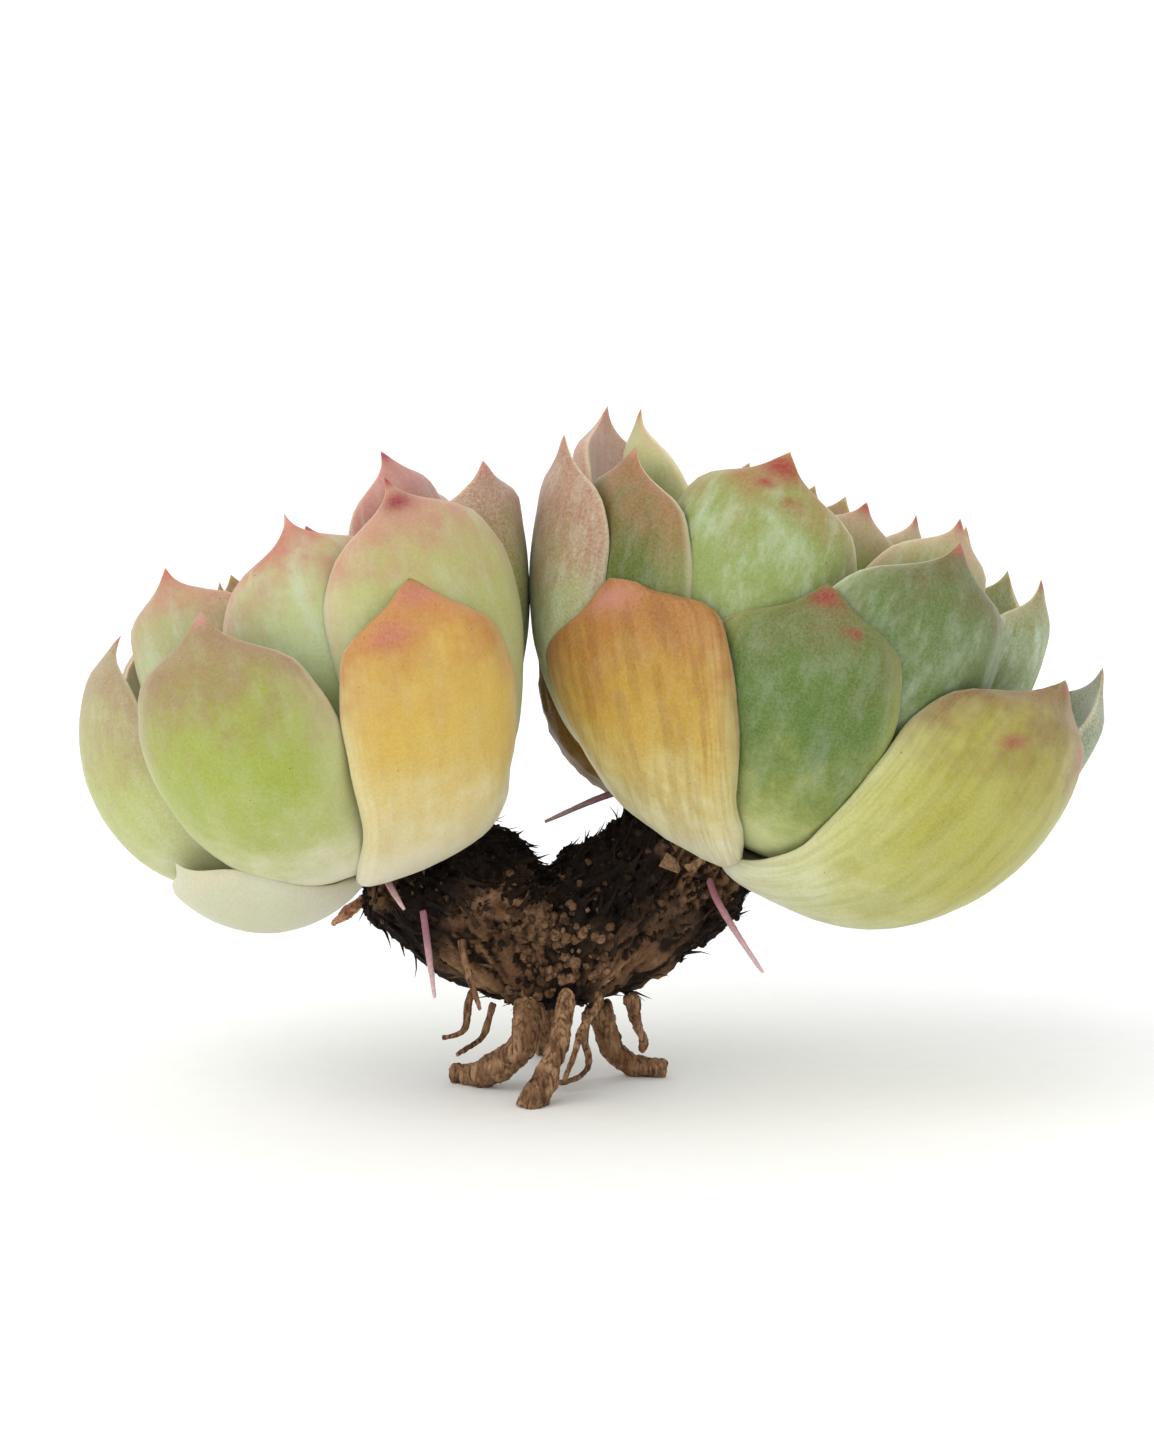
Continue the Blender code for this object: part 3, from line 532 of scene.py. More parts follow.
leafLooks = {
    "left_leaf_01": {"base": "#D8D4BE", "body": "#D6D3BC", "heart": "#CCCCAC", "blush": "#D0C4A8",
                     "blushPower": 0.4, "marks": [], "bloom": 0.2},
    "left_leaf_02": {"base": "#E4DEC4", "body": "#DDD29C", "heart": "#D2B255", "blush": "#BC8244",
                     "tip": "#C07A62", "blushFrom": 0.72, "blushPower": 0.95, "bloom": 0.1, "streaks": 0.1,
                     "paleEdge": 0.3, "marks": [(0.7, 0.86, 1.5), (0.0, 0.95, 1.5)], "swell": 0.7,
                     "foot": 1.0},
    "left_leaf_03": {"base": "#E2DDC8", "body": "#CDCC9A", "heart": "#A3AE4C", "blush": "#9C7A5C",
                     "tip": "#B98A7C", "blushFrom": 0.72, "blushPower": 0.9, "bloom": 0.15, "paleEdge": 0.45,
                     "scars": [(-0.45, 0.5, 0.35)], "swell": 0.5, "foot": 0.5},
    "left_leaf_04": {"base": "#DEDAC2", "body": "#C6C892", "heart": "#B2B868", "blush": "#A58A6C",
                     "tip": "#B0706A", "blushFrom": 0.66, "blushPower": 0.85, "bloom": 0.2, "speckle": 0.25,
                     "scars": [(0.35, 0.3, 1.3)]},
    "left_leaf_05": {"base": "#CED2AC", "body": "#CDCD9E", "heart": "#B6BA74", "blush": "#C08474",
                     "tip": "#963E40", "blushFrom": 0.76, "blushPower": 0.9, "bloom": 0.25,
                     "marks": [(0.34, 0.93, 1.1), (0.0, 0.985, 0.8)]},
    "left_leaf_07": {"base": "#BCC088", "body": "#ACB074", "heart": "#9AA05A", "blush": "#B48E7C",
                     "tip": "#C0827C", "blushFrom": 0.70, "blushPower": 0.9, "speckle": 0.7, "bloom": 0.2},
    "left_leaf_09": {"base": "#C6CEA4", "body": "#CED2AA", "heart": "#BCC88E", "blush": "#BC7464",
                     "tip": "#C88E84", "blushFrom": 0.76, "blushPower": 0.95, "bloom": 0.45},
    "left_leaf_11": {"base": "#B4BA88", "body": "#BCBA8C", "heart": "#AEB27A", "blush": "#B87E68",
                     "tip": "#B4684E", "blushFrom": 0.78, "blushPower": 0.9},
    "left_leaf_14": {"base": "#CBC8A4", "body": "#CEC4A6", "heart": "#C0BA8E", "blush": "#BC7A74",
                     "tip": "#9C444E", "blushFrom": 0.62, "blushPower": 0.9},
    "right_leaf_01": {"base": "#E0DCC0", "body": "#D2C888", "heart": "#BC9A3E", "blush": "#A97134",
                      "tip": "#BC806A", "blushFrom": 0.66, "blushPower": 0.95, "bloom": 0.08, "streaks": 0.3,
                      "paleEdge": 0.2, "marks": [(0.05, 0.93, 1.7)], "swell": 0.8, "crease": 0.35,
                      "foot": 0.5},
    "right_leaf_02": {"base": "#C9CBA6", "body": "#BCC092", "heart": "#B0B680"},
    "right_leaf_03": {"base": "#DCDCC2", "body": "#C6C884", "heart": "#B2AE52", "blush": "#8A6A40",
                      "tip": "#A4544C", "blushFrom": 0.74, "blushPower": 0.95, "bloom": 0.1, "streaks": 0.2,
                      "paleEdge": 0.3, "marks": [(-0.6, 0.84, 0.9), (0.55, 0.80, 0.6), (0.0, 0.985, 0.8)],
                      "crease": 0.4, "swell": 0.6, "foot": 0.4},
    "right_leaf_04": {"base": "#A07830", "body": "#8E6420", "heart": "#7E5414", "blush": "#86602E",
                      "blushPower": 0.6, "marks": [], "bloom": 0.0, "paleEdge": 0.1, "wrinkle": 1.6,
                      "crease": 0.5},
    "right_leaf_05": {"base": "#D0D6A0", "body": "#ACB25E", "heart": "#5E7634", "blush": "#76683A",
                      "tip": "#8E3A26", "blushFrom": 0.79, "blushPower": 0.85, "bloom": 0.15,
                      "paleEdge": 0.55,
                      "marks": [(0.0, 0.96, 1.1), (-0.62, 0.88, 0.5)], "foot": 0.6},
    "right_leaf_06": {"base": "#A2AA86", "body": "#8E9876", "heart": "#7E8C6A", "blush": "#AAA08A",
                      "tip": "#B08868", "speckle": 0.7, "bloom": 0.3, "blushPower": 0.6},
    "right_leaf_07": {"base": "#B8BA84", "body": "#BABC92", "heart": "#A8AE7A", "blush": "#A97C66",
                      "tip": "#B88070", "blushFrom": 0.64, "blushPower": 0.9, "bloom": 0.4, "speckle": 0.5},
    "right_leaf_08": {"base": "#AEBA94", "body": "#90A070", "heart": "#687C44", "blush": "#72593A",
                      "tip": "#A46250", "blushFrom": 0.84, "blushPower": 0.9, "bloom": 0.3, "paleEdge": 0.5,
                      "foot": 0.4},
    "right_leaf_10": {"base": "#B6BE88", "body": "#8F985A", "heart": "#5E6A2A", "blush": "#A06C48",
                      "tip": "#B4806A", "blushFrom": 0.78, "blushPower": 0.9, "bloom": 0.12, "paleEdge": 0.7},
    "right_leaf_11": {"base": "#9AA676", "body": "#98A472", "heart": "#88985E", "blush": "#9E7C58",
                      "tip": "#964E3C", "blushFrom": 0.88, "bloom": 0.7, "speckle": 0.4},
    "right_leaf_12": {"base": "#A8B484", "body": "#A2AE74", "heart": "#8E9E58", "blush": "#A26E42",
                      "tip": "#983E2E", "blushFrom": 0.82, "blushPower": 0.9, "bloom": 0.45, "paleEdge": 0.45,
                      "marks": [(0.0, 0.955, 1.5), (-0.6, 0.87, 0.6), (0.2, 0.9, 0.6)]},
    "right_leaf_13": {"base": "#9AA676", "body": "#98A472", "heart": "#86965E", "blush": "#9E7C58",
                      "tip": "#964E3C", "blushFrom": 0.88, "bloom": 0.7, "speckle": 0.4},
    "right_leaf_14": {"base": "#C4C4A0", "body": "#C4BC9A", "heart": "#B6B284", "blush": "#B4806E",
                      "tip": "#B4583A", "blushFrom": 0.60, "blushPower": 0.85, "speckle": 0.3},
    "right_leaf_19": {"base": "#B4BA86", "body": "#BABC86", "heart": "#AEB272", "blush": "#BC9474",
                      "tip": "#B46A50", "blushFrom": 0.86, "bloom": 0.25, "paleEdge": 0.6},
}


def rosetteFocus(side):
    # a point above the crown that every leaf of the rosette turns its inner face to
    tips = []
    bases = []
    for name in leafNames:
        if name.startswith(side):
            tip, rings, _ = leafRings[name]
            tips.append(tip)
            bases.append(rings[-1].mean(axis=0))
    inner = np.mean(tips[-8:], axis=0)
    crown = np.mean(bases[-8:], axis=0)
    up = (inner - crown) / np.linalg.norm(inner - crown)
    return crown + up * focusHeight


def orderedRings(name, focus):
    # base ring first, each ring starting at one margin and running over the outer face
    tip, rings, _ = leafRings[name]
    rings = np.array(rings[::-1])
    count = rings.shape[1]
    middle = rings[len(rings) // 2]
    spans = [np.linalg.norm(middle[i] - middle[(i + count // 2) % count]) for i in range(count // 2)]
    rings = np.roll(rings, -int(np.argmax(spans)), axis=1)
    middle = rings[len(rings) // 2]
    half = count // 2
    outer = middle[1:half].mean(axis=0)
    inner = middle[half + 1:].mean(axis=0)
    if np.dot(outer - inner, middle.mean(axis=0) - focus) < 0:
        rings = np.roll(rings[:, ::-1], 1, axis=1)
    return tip, rings


def leafSurface(name, look, tip, rings):
    around = leafShape["around"]
    dense = np.array([smoothAround(ring, around) for ring in rings])
    rows = np.concatenate([dense, np.repeat(tip[None, None], around, axis=1)])
    centres = rows.mean(axis=1)
    steps = np.concatenate([[0], np.cumsum(np.linalg.norm(np.diff(centres, axis=0), axis=1))])
    total = steps[-1]
    tipFrom, tipRows = leafShape["tipFrom"], leafShape["tipRows"]
    stations = np.concatenate([np.linspace(0, tipFrom, leafShape["rows"] - tipRows, False),
                               np.linspace(tipFrom, leafShape["tipEnd"], tipRows)])
    grid = smoothAlong(rows, steps, stations * total)
    # the end draws in with hollow flanks to a short hard point
    pinch = np.clip((stations - leafShape["pinchFrom"]) / leafShape["pinchOver"], 0, 1)
    pinch = 1 - leafShape["pinchBy"] * pinch * pinch * (3 - 2 * pinch)
    middles = grid.mean(axis=1, keepdims=True)
    grid = middles + (grid - middles) * pinch[:, None, None]
    # a leaf that came away broad keeps a wide foot with a wavy edge
    sideways = grid[:, :1] - grid[:, around // 2:around // 2 + 1]
    sideways /= np.linalg.norm(sideways, axis=2, keepdims=True)
    spread = ((grid - middles) * sideways).sum(axis=2, keepdims=True)
    nearFoot = np.clip(1 - stations / leafShape["footReach"], 0, 1)[:, None, None] ** 1.5
    grid = grid + sideways * spread * nearFoot * look["foot"]
    upward = (grid[6] - grid[0]).mean(axis=0)
    upward /= np.linalg.norm(upward)
    turn = np.arange(around) / around
    wave = np.sin(turn * 31) * 0.5 + np.sin(turn * 53 + 2) * 0.35
    edge = np.clip(1 - stations / leafShape["edgeReach"], 0, 1)[:, None, None]
    grid = grid + upward * wave[None, :, None] * edge * look["foot"] * leafShape["edgeWave"]
    # the base edge is rounded under
    foot = grid[0].mean(axis=0)
    back = grid[0] - grid[1]
    caps = [foot + (grid[0] - foot) * s + back * r for s, r in ((0.8, 0.35), (0.94, 0.2))]
    grid = np.concatenate([[caps[0], caps[1]], grid])
    shares = np.concatenate([[0, 0], stations])
    count = len(grid)
    points = np.concatenate([grid.reshape(-1, 3), [foot + back.mean(axis=0) * 0.4], [tip]])
    heel, point = count * around, count * around + 1
    # across is 1 at one margin, 0 at the keel and -1 at the other margin, on both faces
    across = np.where(turn < 0.5, 1 - 4 * turn, 4 * turn - 3)
    widths = np.array([np.linalg.norm(row[0] - row[around // 2]) for row in grid]) * 500
    acrossMm = np.concatenate([(across[None] * widths[:, None]).ravel(), [0, 0]])
    alongMm = np.concatenate([np.repeat(shares, around) * total * 1000, [0, total * 1000]])
    outer = np.concatenate([np.tile(np.where(turn < 0.5, 1.0, -1.0), count), [0, 0]])
    made = plainMesh(name + "_flesh", points, tubeFaces(count, around, heel, point))
    mesh = made.data
    setPointValues(mesh, "along", "FLOAT", np.concatenate([np.repeat(shares, around), [0, 1]]))
    setPointValues(mesh, "across", "FLOAT", np.concatenate([np.tile(across, count), [0, 0]]))
    setPointValues(mesh, "leafMm", "FLOAT_VECTOR",
                   np.stack([acrossMm + leafNames.index(name) * 37, alongMm, outer * 5], axis=1))
    tubeMap(mesh, around, shares, heel, point)
    return made, acrossMm, alongMm, outer, total * 1000, widths


def spotField(spots, acrossMm, alongMm, outer, lengthMm, widths):
    # 1 inside each (across, along, radius mm) spot on the outer face, fading out at its rim
    field = np.zeros(len(acrossMm))
    for across, along, radius in spots:
        half = np.interp(along, np.linspace(0, 1, len(widths)), widths)
        distance = np.hypot(acrossMm - across * half, alongMm - along * lengthMm)
        field = np.maximum(field, np.exp(-(distance / radius) ** 2 * 1.2) * (outer >= 0))
    return field


def makeLeaf(name, focus, chance):
    tip, rings = orderedRings(name, focus)
    look = {**leafDefault, **leafLooks.get(name, {})}
    leaf, acrossMm, alongMm, outer, lengthMm, widths = leafSurface(name, look, tip, rings)
    mesh = leaf.data
    size = len(mesh.vertices)
    # each leaf is a little lighter or darker than its neighbour
    shift = 0.0 if name in leafLooks else chance.uniform(-0.06, 0.06)
    for label in ("base", "body", "heart", "blush", "tip"):
        tone = [min(1.0, c * leafDepth * (1 + shift)) for c in tint(look[label])[:3]] + [1.0]
        setPointValues(mesh, label + "Tone", "FLOAT_COLOR", np.tile(tone, (size, 1)))
    setPointValues(mesh, "habit", "FLOAT_VECTOR",
                   np.tile([look["blushFrom"], look["blushPower"], look["bloom"]], (size, 1)))
    setPointValues(mesh, "finish", "FLOAT_VECTOR",
                   np.tile([look["streaks"], look["speckle"], look["paleEdge"]], (size, 1)))
    places = (acrossMm, alongMm, outer, lengthMm, widths)
    setPointValues(mesh, "redMark", "FLOAT", spotField(look["marks"], *places))
    setPointValues(mesh, "scar", "FLOAT", spotField(look["scars"], *places))
    faceOutward(mesh)
    runTree(leaf, leafSkinTree, {
        "Swell": look["swell"] / 1000, "Crease": look["crease"] / 1000, "Wrinkle": look["wrinkle"] / 1000,
        "Seed": chance.uniform(0, 50), "Material": leafFlesh})
    smooth(leaf.data)
    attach(leaf, "root")
    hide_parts(name)


leafNames = sorted(n for n in nodes if "_leaf_" in n)
leafRings = {name: ringsOf(name, 12) for name in leafNames}
leafChance = random.Random(7)
for side in ("left", "right"):
    focus = rosetteFocus(side)
    for name in leafNames:
        if name.startswith(side):
            makeLeaf(name, focus, leafChance)
print("leaves made:", sum(name.startswith(("left", "right")) for name in leafNames))


def makeBark():
    # Cork bark of an old succulent stem, dried and torn: brown on its ridges, fully matt, with paler fibres
    # where the outer skin has peeled, and painted shade that darkens its sunk cracks near-black.
    material, tree = newMaterial("tornCorkBark")
    place = addNode(tree, "ShaderNodeTexCoord").outputs["Object"]
    relief = addNode(tree, "ShaderNodeAttribute", attribute_name="relief").outputs["Fac"]
    brown = addNode(tree, "ShaderNodeAttribute", attribute_name="brown").outputs["Fac"]
    strand = addNode(tree, "ShaderNodeAttribute", attribute_name="strand").outputs["Fac"]
    patch = addNode(tree, "ShaderNodeTexNoise", {
        "Vector": place, "Scale": 1000 / 4.0, "Detail": 4.0, "Roughness": 0.6})
    fine = addNode(tree, "ShaderNodeTexNoise", {
        "Vector": place, "Scale": 1000 / 0.35, "Detail": 3.0, "Roughness": 0.7})
    share = addNode(tree, "ShaderNodeMath", {
        0: brown,
        1: addNode(tree, "ShaderNodeMath", {
            0: addNode(tree, "ShaderNodeMath", {0: patch, 1: 0.5}, operation="SUBTRACT"),
            1: 0.6}, operation="MULTIPLY")}, operation="ADD")
    tone = addNode(tree, "ShaderNodeMix", {
        0: addNode(tree, "ShaderNodeMapRange", {
            "Value": share, "From Min": 0.2, "From Max": 0.55}, interpolation_type="SMOOTHSTEP"),
        6: tint("#1A110B"), 7: tint("#6E5038")}, data_type="RGBA")
    worn = addNode(tree, "ShaderNodeMath", {
        0: addNode(tree, "ShaderNodeMapRange", {
            "Value": relief, "From Min": 0.45, "From Max": 0.85}, interpolation_type="SMOOTHSTEP"),
        1: addNode(tree, "ShaderNodeMapRange", {
            "Value": share, "From Min": 0.1, "From Max": 0.7}, interpolation_type="SMOOTHSTEP")},
            operation="MULTIPLY")
    tone = addNode(tree, "ShaderNodeMix", {0: worn, 6: tone, 7: tint("#96755A")}, data_type="RGBA")
    paleFibre = addNode(tree, "ShaderNodeMath", {
        0: addNode(tree, "ShaderNodeMapRange", {
            "Value": strand, "From Min": 0.52, "From Max": 0.7}, interpolation_type="SMOOTHSTEP"),
        1: addNode(tree, "ShaderNodeMapRange", {
            "Value": share, "From Min": 0.3, "From Max": 0.8, "To Min": 0.0,
            "To Max": 0.8}, interpolation_type="SMOOTHSTEP")}, operation="MULTIPLY")
    tone = addNode(tree, "ShaderNodeMix", {0: paleFibre, 6: tone, 7: tint("#A5805A")}, data_type="RGBA")
    # painted shade: the sunk grooves between strands are darkened as if shadowed
    grooveShade = addNode(tree, "ShaderNodeMath", {
        0: addNode(tree, "ShaderNodeMapRange", {
            "Value": strand, "From Min": 0.34, "From Max": 0.5, "To Min": 0.8,
            "To Max": 0.0}, interpolation_type="SMOOTHSTEP"),
        1: addNode(tree, "ShaderNodeMapRange", {
            "Value": share, "From Min": 0.2, "From Max": 0.6}, interpolation_type="SMOOTHSTEP")},
            operation="MULTIPLY")
    tone = addNode(tree, "ShaderNodeMix", {0: grooveShade, 6: tone, 7: tint("#2C1B11")}, data_type="RGBA")
    # painted shade: the low, sunk cracks are darkened near-black as if shadowed
    tone = addNode(tree, "ShaderNodeMix", {
        0: addNode(tree, "ShaderNodeMapRange", {
            "Value": relief, "From Min": 0.16, "From Max": 0.42, "To Min": 0.9,
            "To Max": 0.0}, interpolation_type="SMOOTHSTEP"),
        6: tone, 7: tint("#0C0705")}, data_type="RGBA")
    tone = addNode(tree, "ShaderNodeMix", {
        0: addNode(tree, "ShaderNodeMapRange", {
            "Value": fine, "From Min": 0.3, "From Max": 0.7, "To Min": 0.3,
            "To Max": 0.0}, interpolation_type="SMOOTHSTEP"),
        6: tone, 7: tint("#150D08")}, data_type="RGBA")
    height = addNode(tree, "ShaderNodeMath", {0: fine, 1: strand}, operation="ADD")
    bump = addNode(tree, "ShaderNodeBump", {"Height": height, "Strength": 0.8, "Distance": 0.00025})
    shader = addNode(tree, "ShaderNodeBsdfPrincipled", {
        "Base Color": tone,
        "Roughness": addNode(tree, "ShaderNodeMapRange", {
            "Value": relief, "From Min": 0.2, "From Max": 0.9, "To Min": 0.95,
            "To Max": 0.78}, interpolation_type="SMOOTHSTEP"),
        "Normal": bump, "Specular IOR Level": 0.2})
    finishMaterial(tree, shader)
    return material


def makeFlakeBark():
    # loose shards of the same bark, each a little lighter or darker than the next
    material, tree = newMaterial("looseBarkShard")
    place = addNode(tree, "ShaderNodeTexCoord").outputs["Object"]
    tone = addNode(tree, "ShaderNodeMix", {
        0: addNode(tree, "ShaderNodeMapRange", {
            "Value": addNode(tree, "ShaderNodeAttribute", attribute_name="tone").outputs["Fac"],
            "From Min": 0.35, "From Max": 1.3}, interpolation_type="SMOOTHSTEP"),
        6: tint("#150D08"), 7: tint("#7C5D42")}, data_type="RGBA")
    tone = addNode(tree, "ShaderNodeMix", {
        0: addNode(tree, "ShaderNodeMapRange", {
            "Value": addNode(tree, "ShaderNodeTexNoise", {
                "Vector": place, "Scale": 1000 / 0.4, "Detail": 3.0, "Roughness": 0.55}),
            "From Min": 0.35, "From Max": 0.7, "To Min": 0.5,
            "To Max": 0.0}, interpolation_type="SMOOTHSTEP"),
        6: tone, 7: tint("#2A1B12")}, data_type="RGBA")
    grain = addNode(tree, "ShaderNodeTexNoise", {
        "Vector": place, "Scale": 1000 / 0.25, "Detail": 3.0, "Roughness": 0.55})
    bump = addNode(tree, "ShaderNodeBump", {"Height": grain, "Strength": 0.5, "Distance": 0.0001})
    shader = addNode(tree, "ShaderNodeBsdfPrincipled", {"Base Color": tone, "Roughness": 0.9, "Normal": bump,
                                                        "Specular IOR Level": 0.2})
    finishMaterial(tree, shader)
    return material


def makeRootWood():
    # dead woody root: fine lengthwise grain, dull brown, dusted with dry soil, with painted shade in its
    # grooves
    material, tree = newMaterial("driedRootWood")
    place = addNode(tree, "ShaderNodeTexCoord").outputs["Object"]
    relief = addNode(tree, "ShaderNodeAttribute", attribute_name="relief").outputs["Fac"]
    lengthwise = addNode(tree, "ShaderNodeMapping", {"Vector": place, "Scale": (1.0, 1.0, 0.16)})
    grain = addNode(tree, "ShaderNodeTexNoise", {
        "Vector": lengthwise, "Scale": 1000 / 0.4, "Detail": 4.0, "Roughness": 0.65})
    patch = addNode(tree, "ShaderNodeTexNoise", {
        "Vector": place, "Scale": 1000 / 2.0, "Detail": 3.0, "Roughness": 0.55})
    tone = addNode(tree, "ShaderNodeMix", {
        0: addNode(tree, "ShaderNodeMapRange", {
            "Value": patch, "From Min": 0.35, "From Max": 0.68}, interpolation_type="SMOOTHSTEP"),
        6: tint("#7C5A3E"), 7: tint("#AE8A68")}, data_type="RGBA")
    tone = addNode(tree, "ShaderNodeMix", {
        0: addNode(tree, "ShaderNodeMapRange", {
            "Value": grain, "From Min": 0.34, "From Max": 0.6}, interpolation_type="SMOOTHSTEP"),
        6: tint("#513521"), 7: tone}, data_type="RGBA")
    # painted shade: the low places between knots and ridges are darkened as if shadowed
    tone = addNode(tree, "ShaderNodeMix", {
        0: addNode(tree, "ShaderNodeMapRange", {
            "Value": relief, "From Min": 0.2, "From Max": 0.46, "To Min": 0.75,
            "To Max": 0.0}, interpolation_type="SMOOTHSTEP"),
        6: tone, 7: tint("#2A1A10")}, data_type="RGBA")
    bump = addNode(tree, "ShaderNodeBump", {"Height": grain, "Strength": 0.7, "Distance": 0.0002})
    shader = addNode(tree, "ShaderNodeBsdfPrincipled", {"Base Color": tone, "Roughness": 0.88, "Normal": bump,
                                                        "Specular IOR Level": 0.25})
    finishMaterial(tree, shader)
    return material


def makeLivingRoot():
    # young aerial root: moist translucent skin, rose pink, paler towards its growing end
    material, tree = newMaterial("livingRootSkin")
    place = addNode(tree, "ShaderNodeTexCoord").outputs["Object"]
    drift = addNode(tree, "ShaderNodeMath", {
        0: addNode(tree, "ShaderNodeAttribute", attribute_name="fromStem").outputs["Fac"],
        1: addNode(tree, "ShaderNodeMath", {
            0: addNode(tree, "ShaderNodeMath", {
                0: addNode(tree, "ShaderNodeTexNoise", {
                    "Vector": place, "Scale": 1000 / 1.2, "Detail": 3.0, "Roughness": 0.55}),
                1: 0.5}, operation="SUBTRACT"),
            1: 0.4}, operation="MULTIPLY")}, operation="ADD")
    tone = addNode(tree, "ShaderNodeMix", {
        0: addNode(tree, "ShaderNodeMapRange", {
            "Value": drift, "From Min": 0.1, "From Max": 0.95}, interpolation_type="SMOOTHSTEP"),
        6: tint("#9A6672"), 7: tint("#DCC0C2")}, data_type="RGBA")
    tone = addNode(tree, "ShaderNodeMix", {
        0: addNode(tree, "ShaderNodeMapRange", {
            "Value": addNode(tree, "ShaderNodeTexNoise", {
                "Vector": place, "Scale": 1000 / 0.3, "Detail": 3.0, "Roughness": 0.55}),
            "From Min": 0.4, "From Max": 0.7, "To Min": 0.3,
            "To Max": 0.0}, interpolation_type="SMOOTHSTEP"),
        6: tone, 7: tint("#8C5564")}, data_type="RGBA")
    bump = addNode(tree, "ShaderNodeBump", {
        "Height": addNode(tree, "ShaderNodeTexNoise", {
            "Vector": place, "Scale": 1000 / 0.2, "Detail": 3.0, "Roughness": 0.55}),
        "Strength": 0.3, "Distance": 0.00005})
    shader = addNode(tree, "ShaderNodeBsdfPrincipled", {
        "Base Color": tone, "Roughness": 0.5, "Normal": bump, "IOR": 1.38, "Subsurface Weight": 0.4,
        "Subsurface Scale": 0.0006, "Subsurface Radius": (1.0, 0.6, 0.5)})
    finishMaterial(tree, shader)
    return material


def makeDryScale():
    # shrivelled leaf skin: thin, papery, orange-brown with pale worn rims and fine wrinkles
    material, tree = newMaterial("paperyDryLeaf")
    place = addNode(tree, "ShaderNodeTexCoord").outputs["Object"]
    patch = addNode(tree, "ShaderNodeTexNoise", {
        "Vector": place, "Scale": 1000 / 1.3, "Detail": 4.0, "Roughness": 0.6})
    vein = addNode(tree, "ShaderNodeTexNoise", {
        "Vector": place, "Scale": 1000 / 0.5, "Detail": 3.0, "Roughness": 0.6, "Distortion": 1.0})
    tone = addNode(tree, "ShaderNodeMix", {
        0: addNode(tree, "ShaderNodeMapRange", {
            "Value": patch, "From Min": 0.35, "From Max": 0.65}, interpolation_type="SMOOTHSTEP"),
        6: tint("#9A5526"), 7: tint("#D2A07A")}, data_type="RGBA")
    tone = addNode(tree, "ShaderNodeMix", {
        0: addNode(tree, "ShaderNodeMapRange", {
            "Value": vein, "From Min": 0.35, "From Max": 0.55, "To Min": 0.55,
            "To Max": 0.0}, interpolation_type="SMOOTHSTEP"),
        6: tone, 7: tint("#6A3516")}, data_type="RGBA")
    bump = addNode(tree, "ShaderNodeBump", {"Height": vein, "Strength": 0.6, "Distance": 0.0001})
    shader = addNode(tree, "ShaderNodeBsdfPrincipled", {
        "Base Color": tone, "Roughness": 0.55, "Normal": bump, "Subsurface Weight": 0.3,
        "Subsurface Scale": 0.0005, "Subsurface Radius": (1.0, 0.5, 0.2)})
    finishMaterial(tree, shader)
    return material


def makeDryScrap():
    # the dry papery feet of leaves that have dropped: tan and brown, thin, worn pale at their ends
    material, tree = newMaterial("dryLeafFoot")
    place = addNode(tree, "ShaderNodeTexCoord").outputs["Object"]
    fibre = addNode(tree, "ShaderNodeTexNoise", {
        "Vector": addNode(tree, "ShaderNodeMapping", {"Vector": place, "Scale": (1.0, 1.0, 0.3)}),
        "Scale": 1000 / 0.35, "Detail": 3.0, "Roughness": 0.6})
    tone = addNode(tree, "ShaderNodeMix", {
        0: addNode(tree, "ShaderNodeMapRange", {
            "Value": addNode(tree, "ShaderNodeAttribute", attribute_name="tone").outputs["Fac"],
            "From Min": -0.2, "From Max": 0.9}, interpolation_type="SMOOTHSTEP"),
        6: tint("#4A3020"), 7: tint("#A07E5C")}, data_type="RGBA")
    tone = addNode(tree, "ShaderNodeMix", {
        0: addNode(tree, "ShaderNodeMapRange", {
            "Value": fibre, "From Min": 0.35, "From Max": 0.6, "To Min": 0.6,
            "To Max": 0.0}, interpolation_type="SMOOTHSTEP"),
        6: tone, 7: tint("#2A1A10")}, data_type="RGBA")
    bump = addNode(tree, "ShaderNodeBump", {"Height": fibre, "Strength": 0.6, "Distance": 0.0001})
    shader = addNode(tree, "ShaderNodeBsdfPrincipled", {"Base Color": tone, "Roughness": 0.8, "Normal": bump,
                                                        "Specular IOR Level": 0.3})
    finishMaterial(tree, shader)
    return material


def makeSoil():
    # dry peat crumbs: dark brown, crumbly and matt, with a few paler mineral grains
    material, tree = newMaterial("dryPottingSoil")
    place = addNode(tree, "ShaderNodeTexCoord").outputs["Object"]
    grain = addNode(tree, "ShaderNodeTexNoise", {
        "Vector": place, "Scale": 1000 / 0.5, "Detail": 4.0, "Roughness": 0.7})
    tone = addNode(tree, "ShaderNodeMix", {
        0: addNode(tree, "ShaderNodeAttribute", attribute_name="tone").outputs["Fac"], 6: tint("#4A3424"),
        7: tint("#8E6E52")}, data_type="RGBA")
    tone = addNode(tree, "ShaderNodeMix", {
        0: addNode(tree, "ShaderNodeMapRange", {
            "Value": grain, "From Min": 0.35, "From Max": 0.6, "To Min": 0.7,
            "To Max": 0.0}, interpolation_type="SMOOTHSTEP"),
        6: tone, 7: tint("#1E130C")}, data_type="RGBA")
    bump = addNode(tree, "ShaderNodeBump", {"Height": grain, "Strength": 0.9, "Distance": 0.0002})
    shader = addNode(tree, "ShaderNodeBsdfPrincipled", {"Base Color": tone, "Roughness": 0.95, "Normal": bump,
                                                        "Specular IOR Level": 0.15})
    finishMaterial(tree, shader)
    return material


bark = makeBark()
shardBark = makeFlakeBark()
rootWood = makeRootWood()
livingRoot = makeLivingRoot()
dryScale = makeDryScale()
soil = makeSoil()
dryScrap = makeDryScrap()


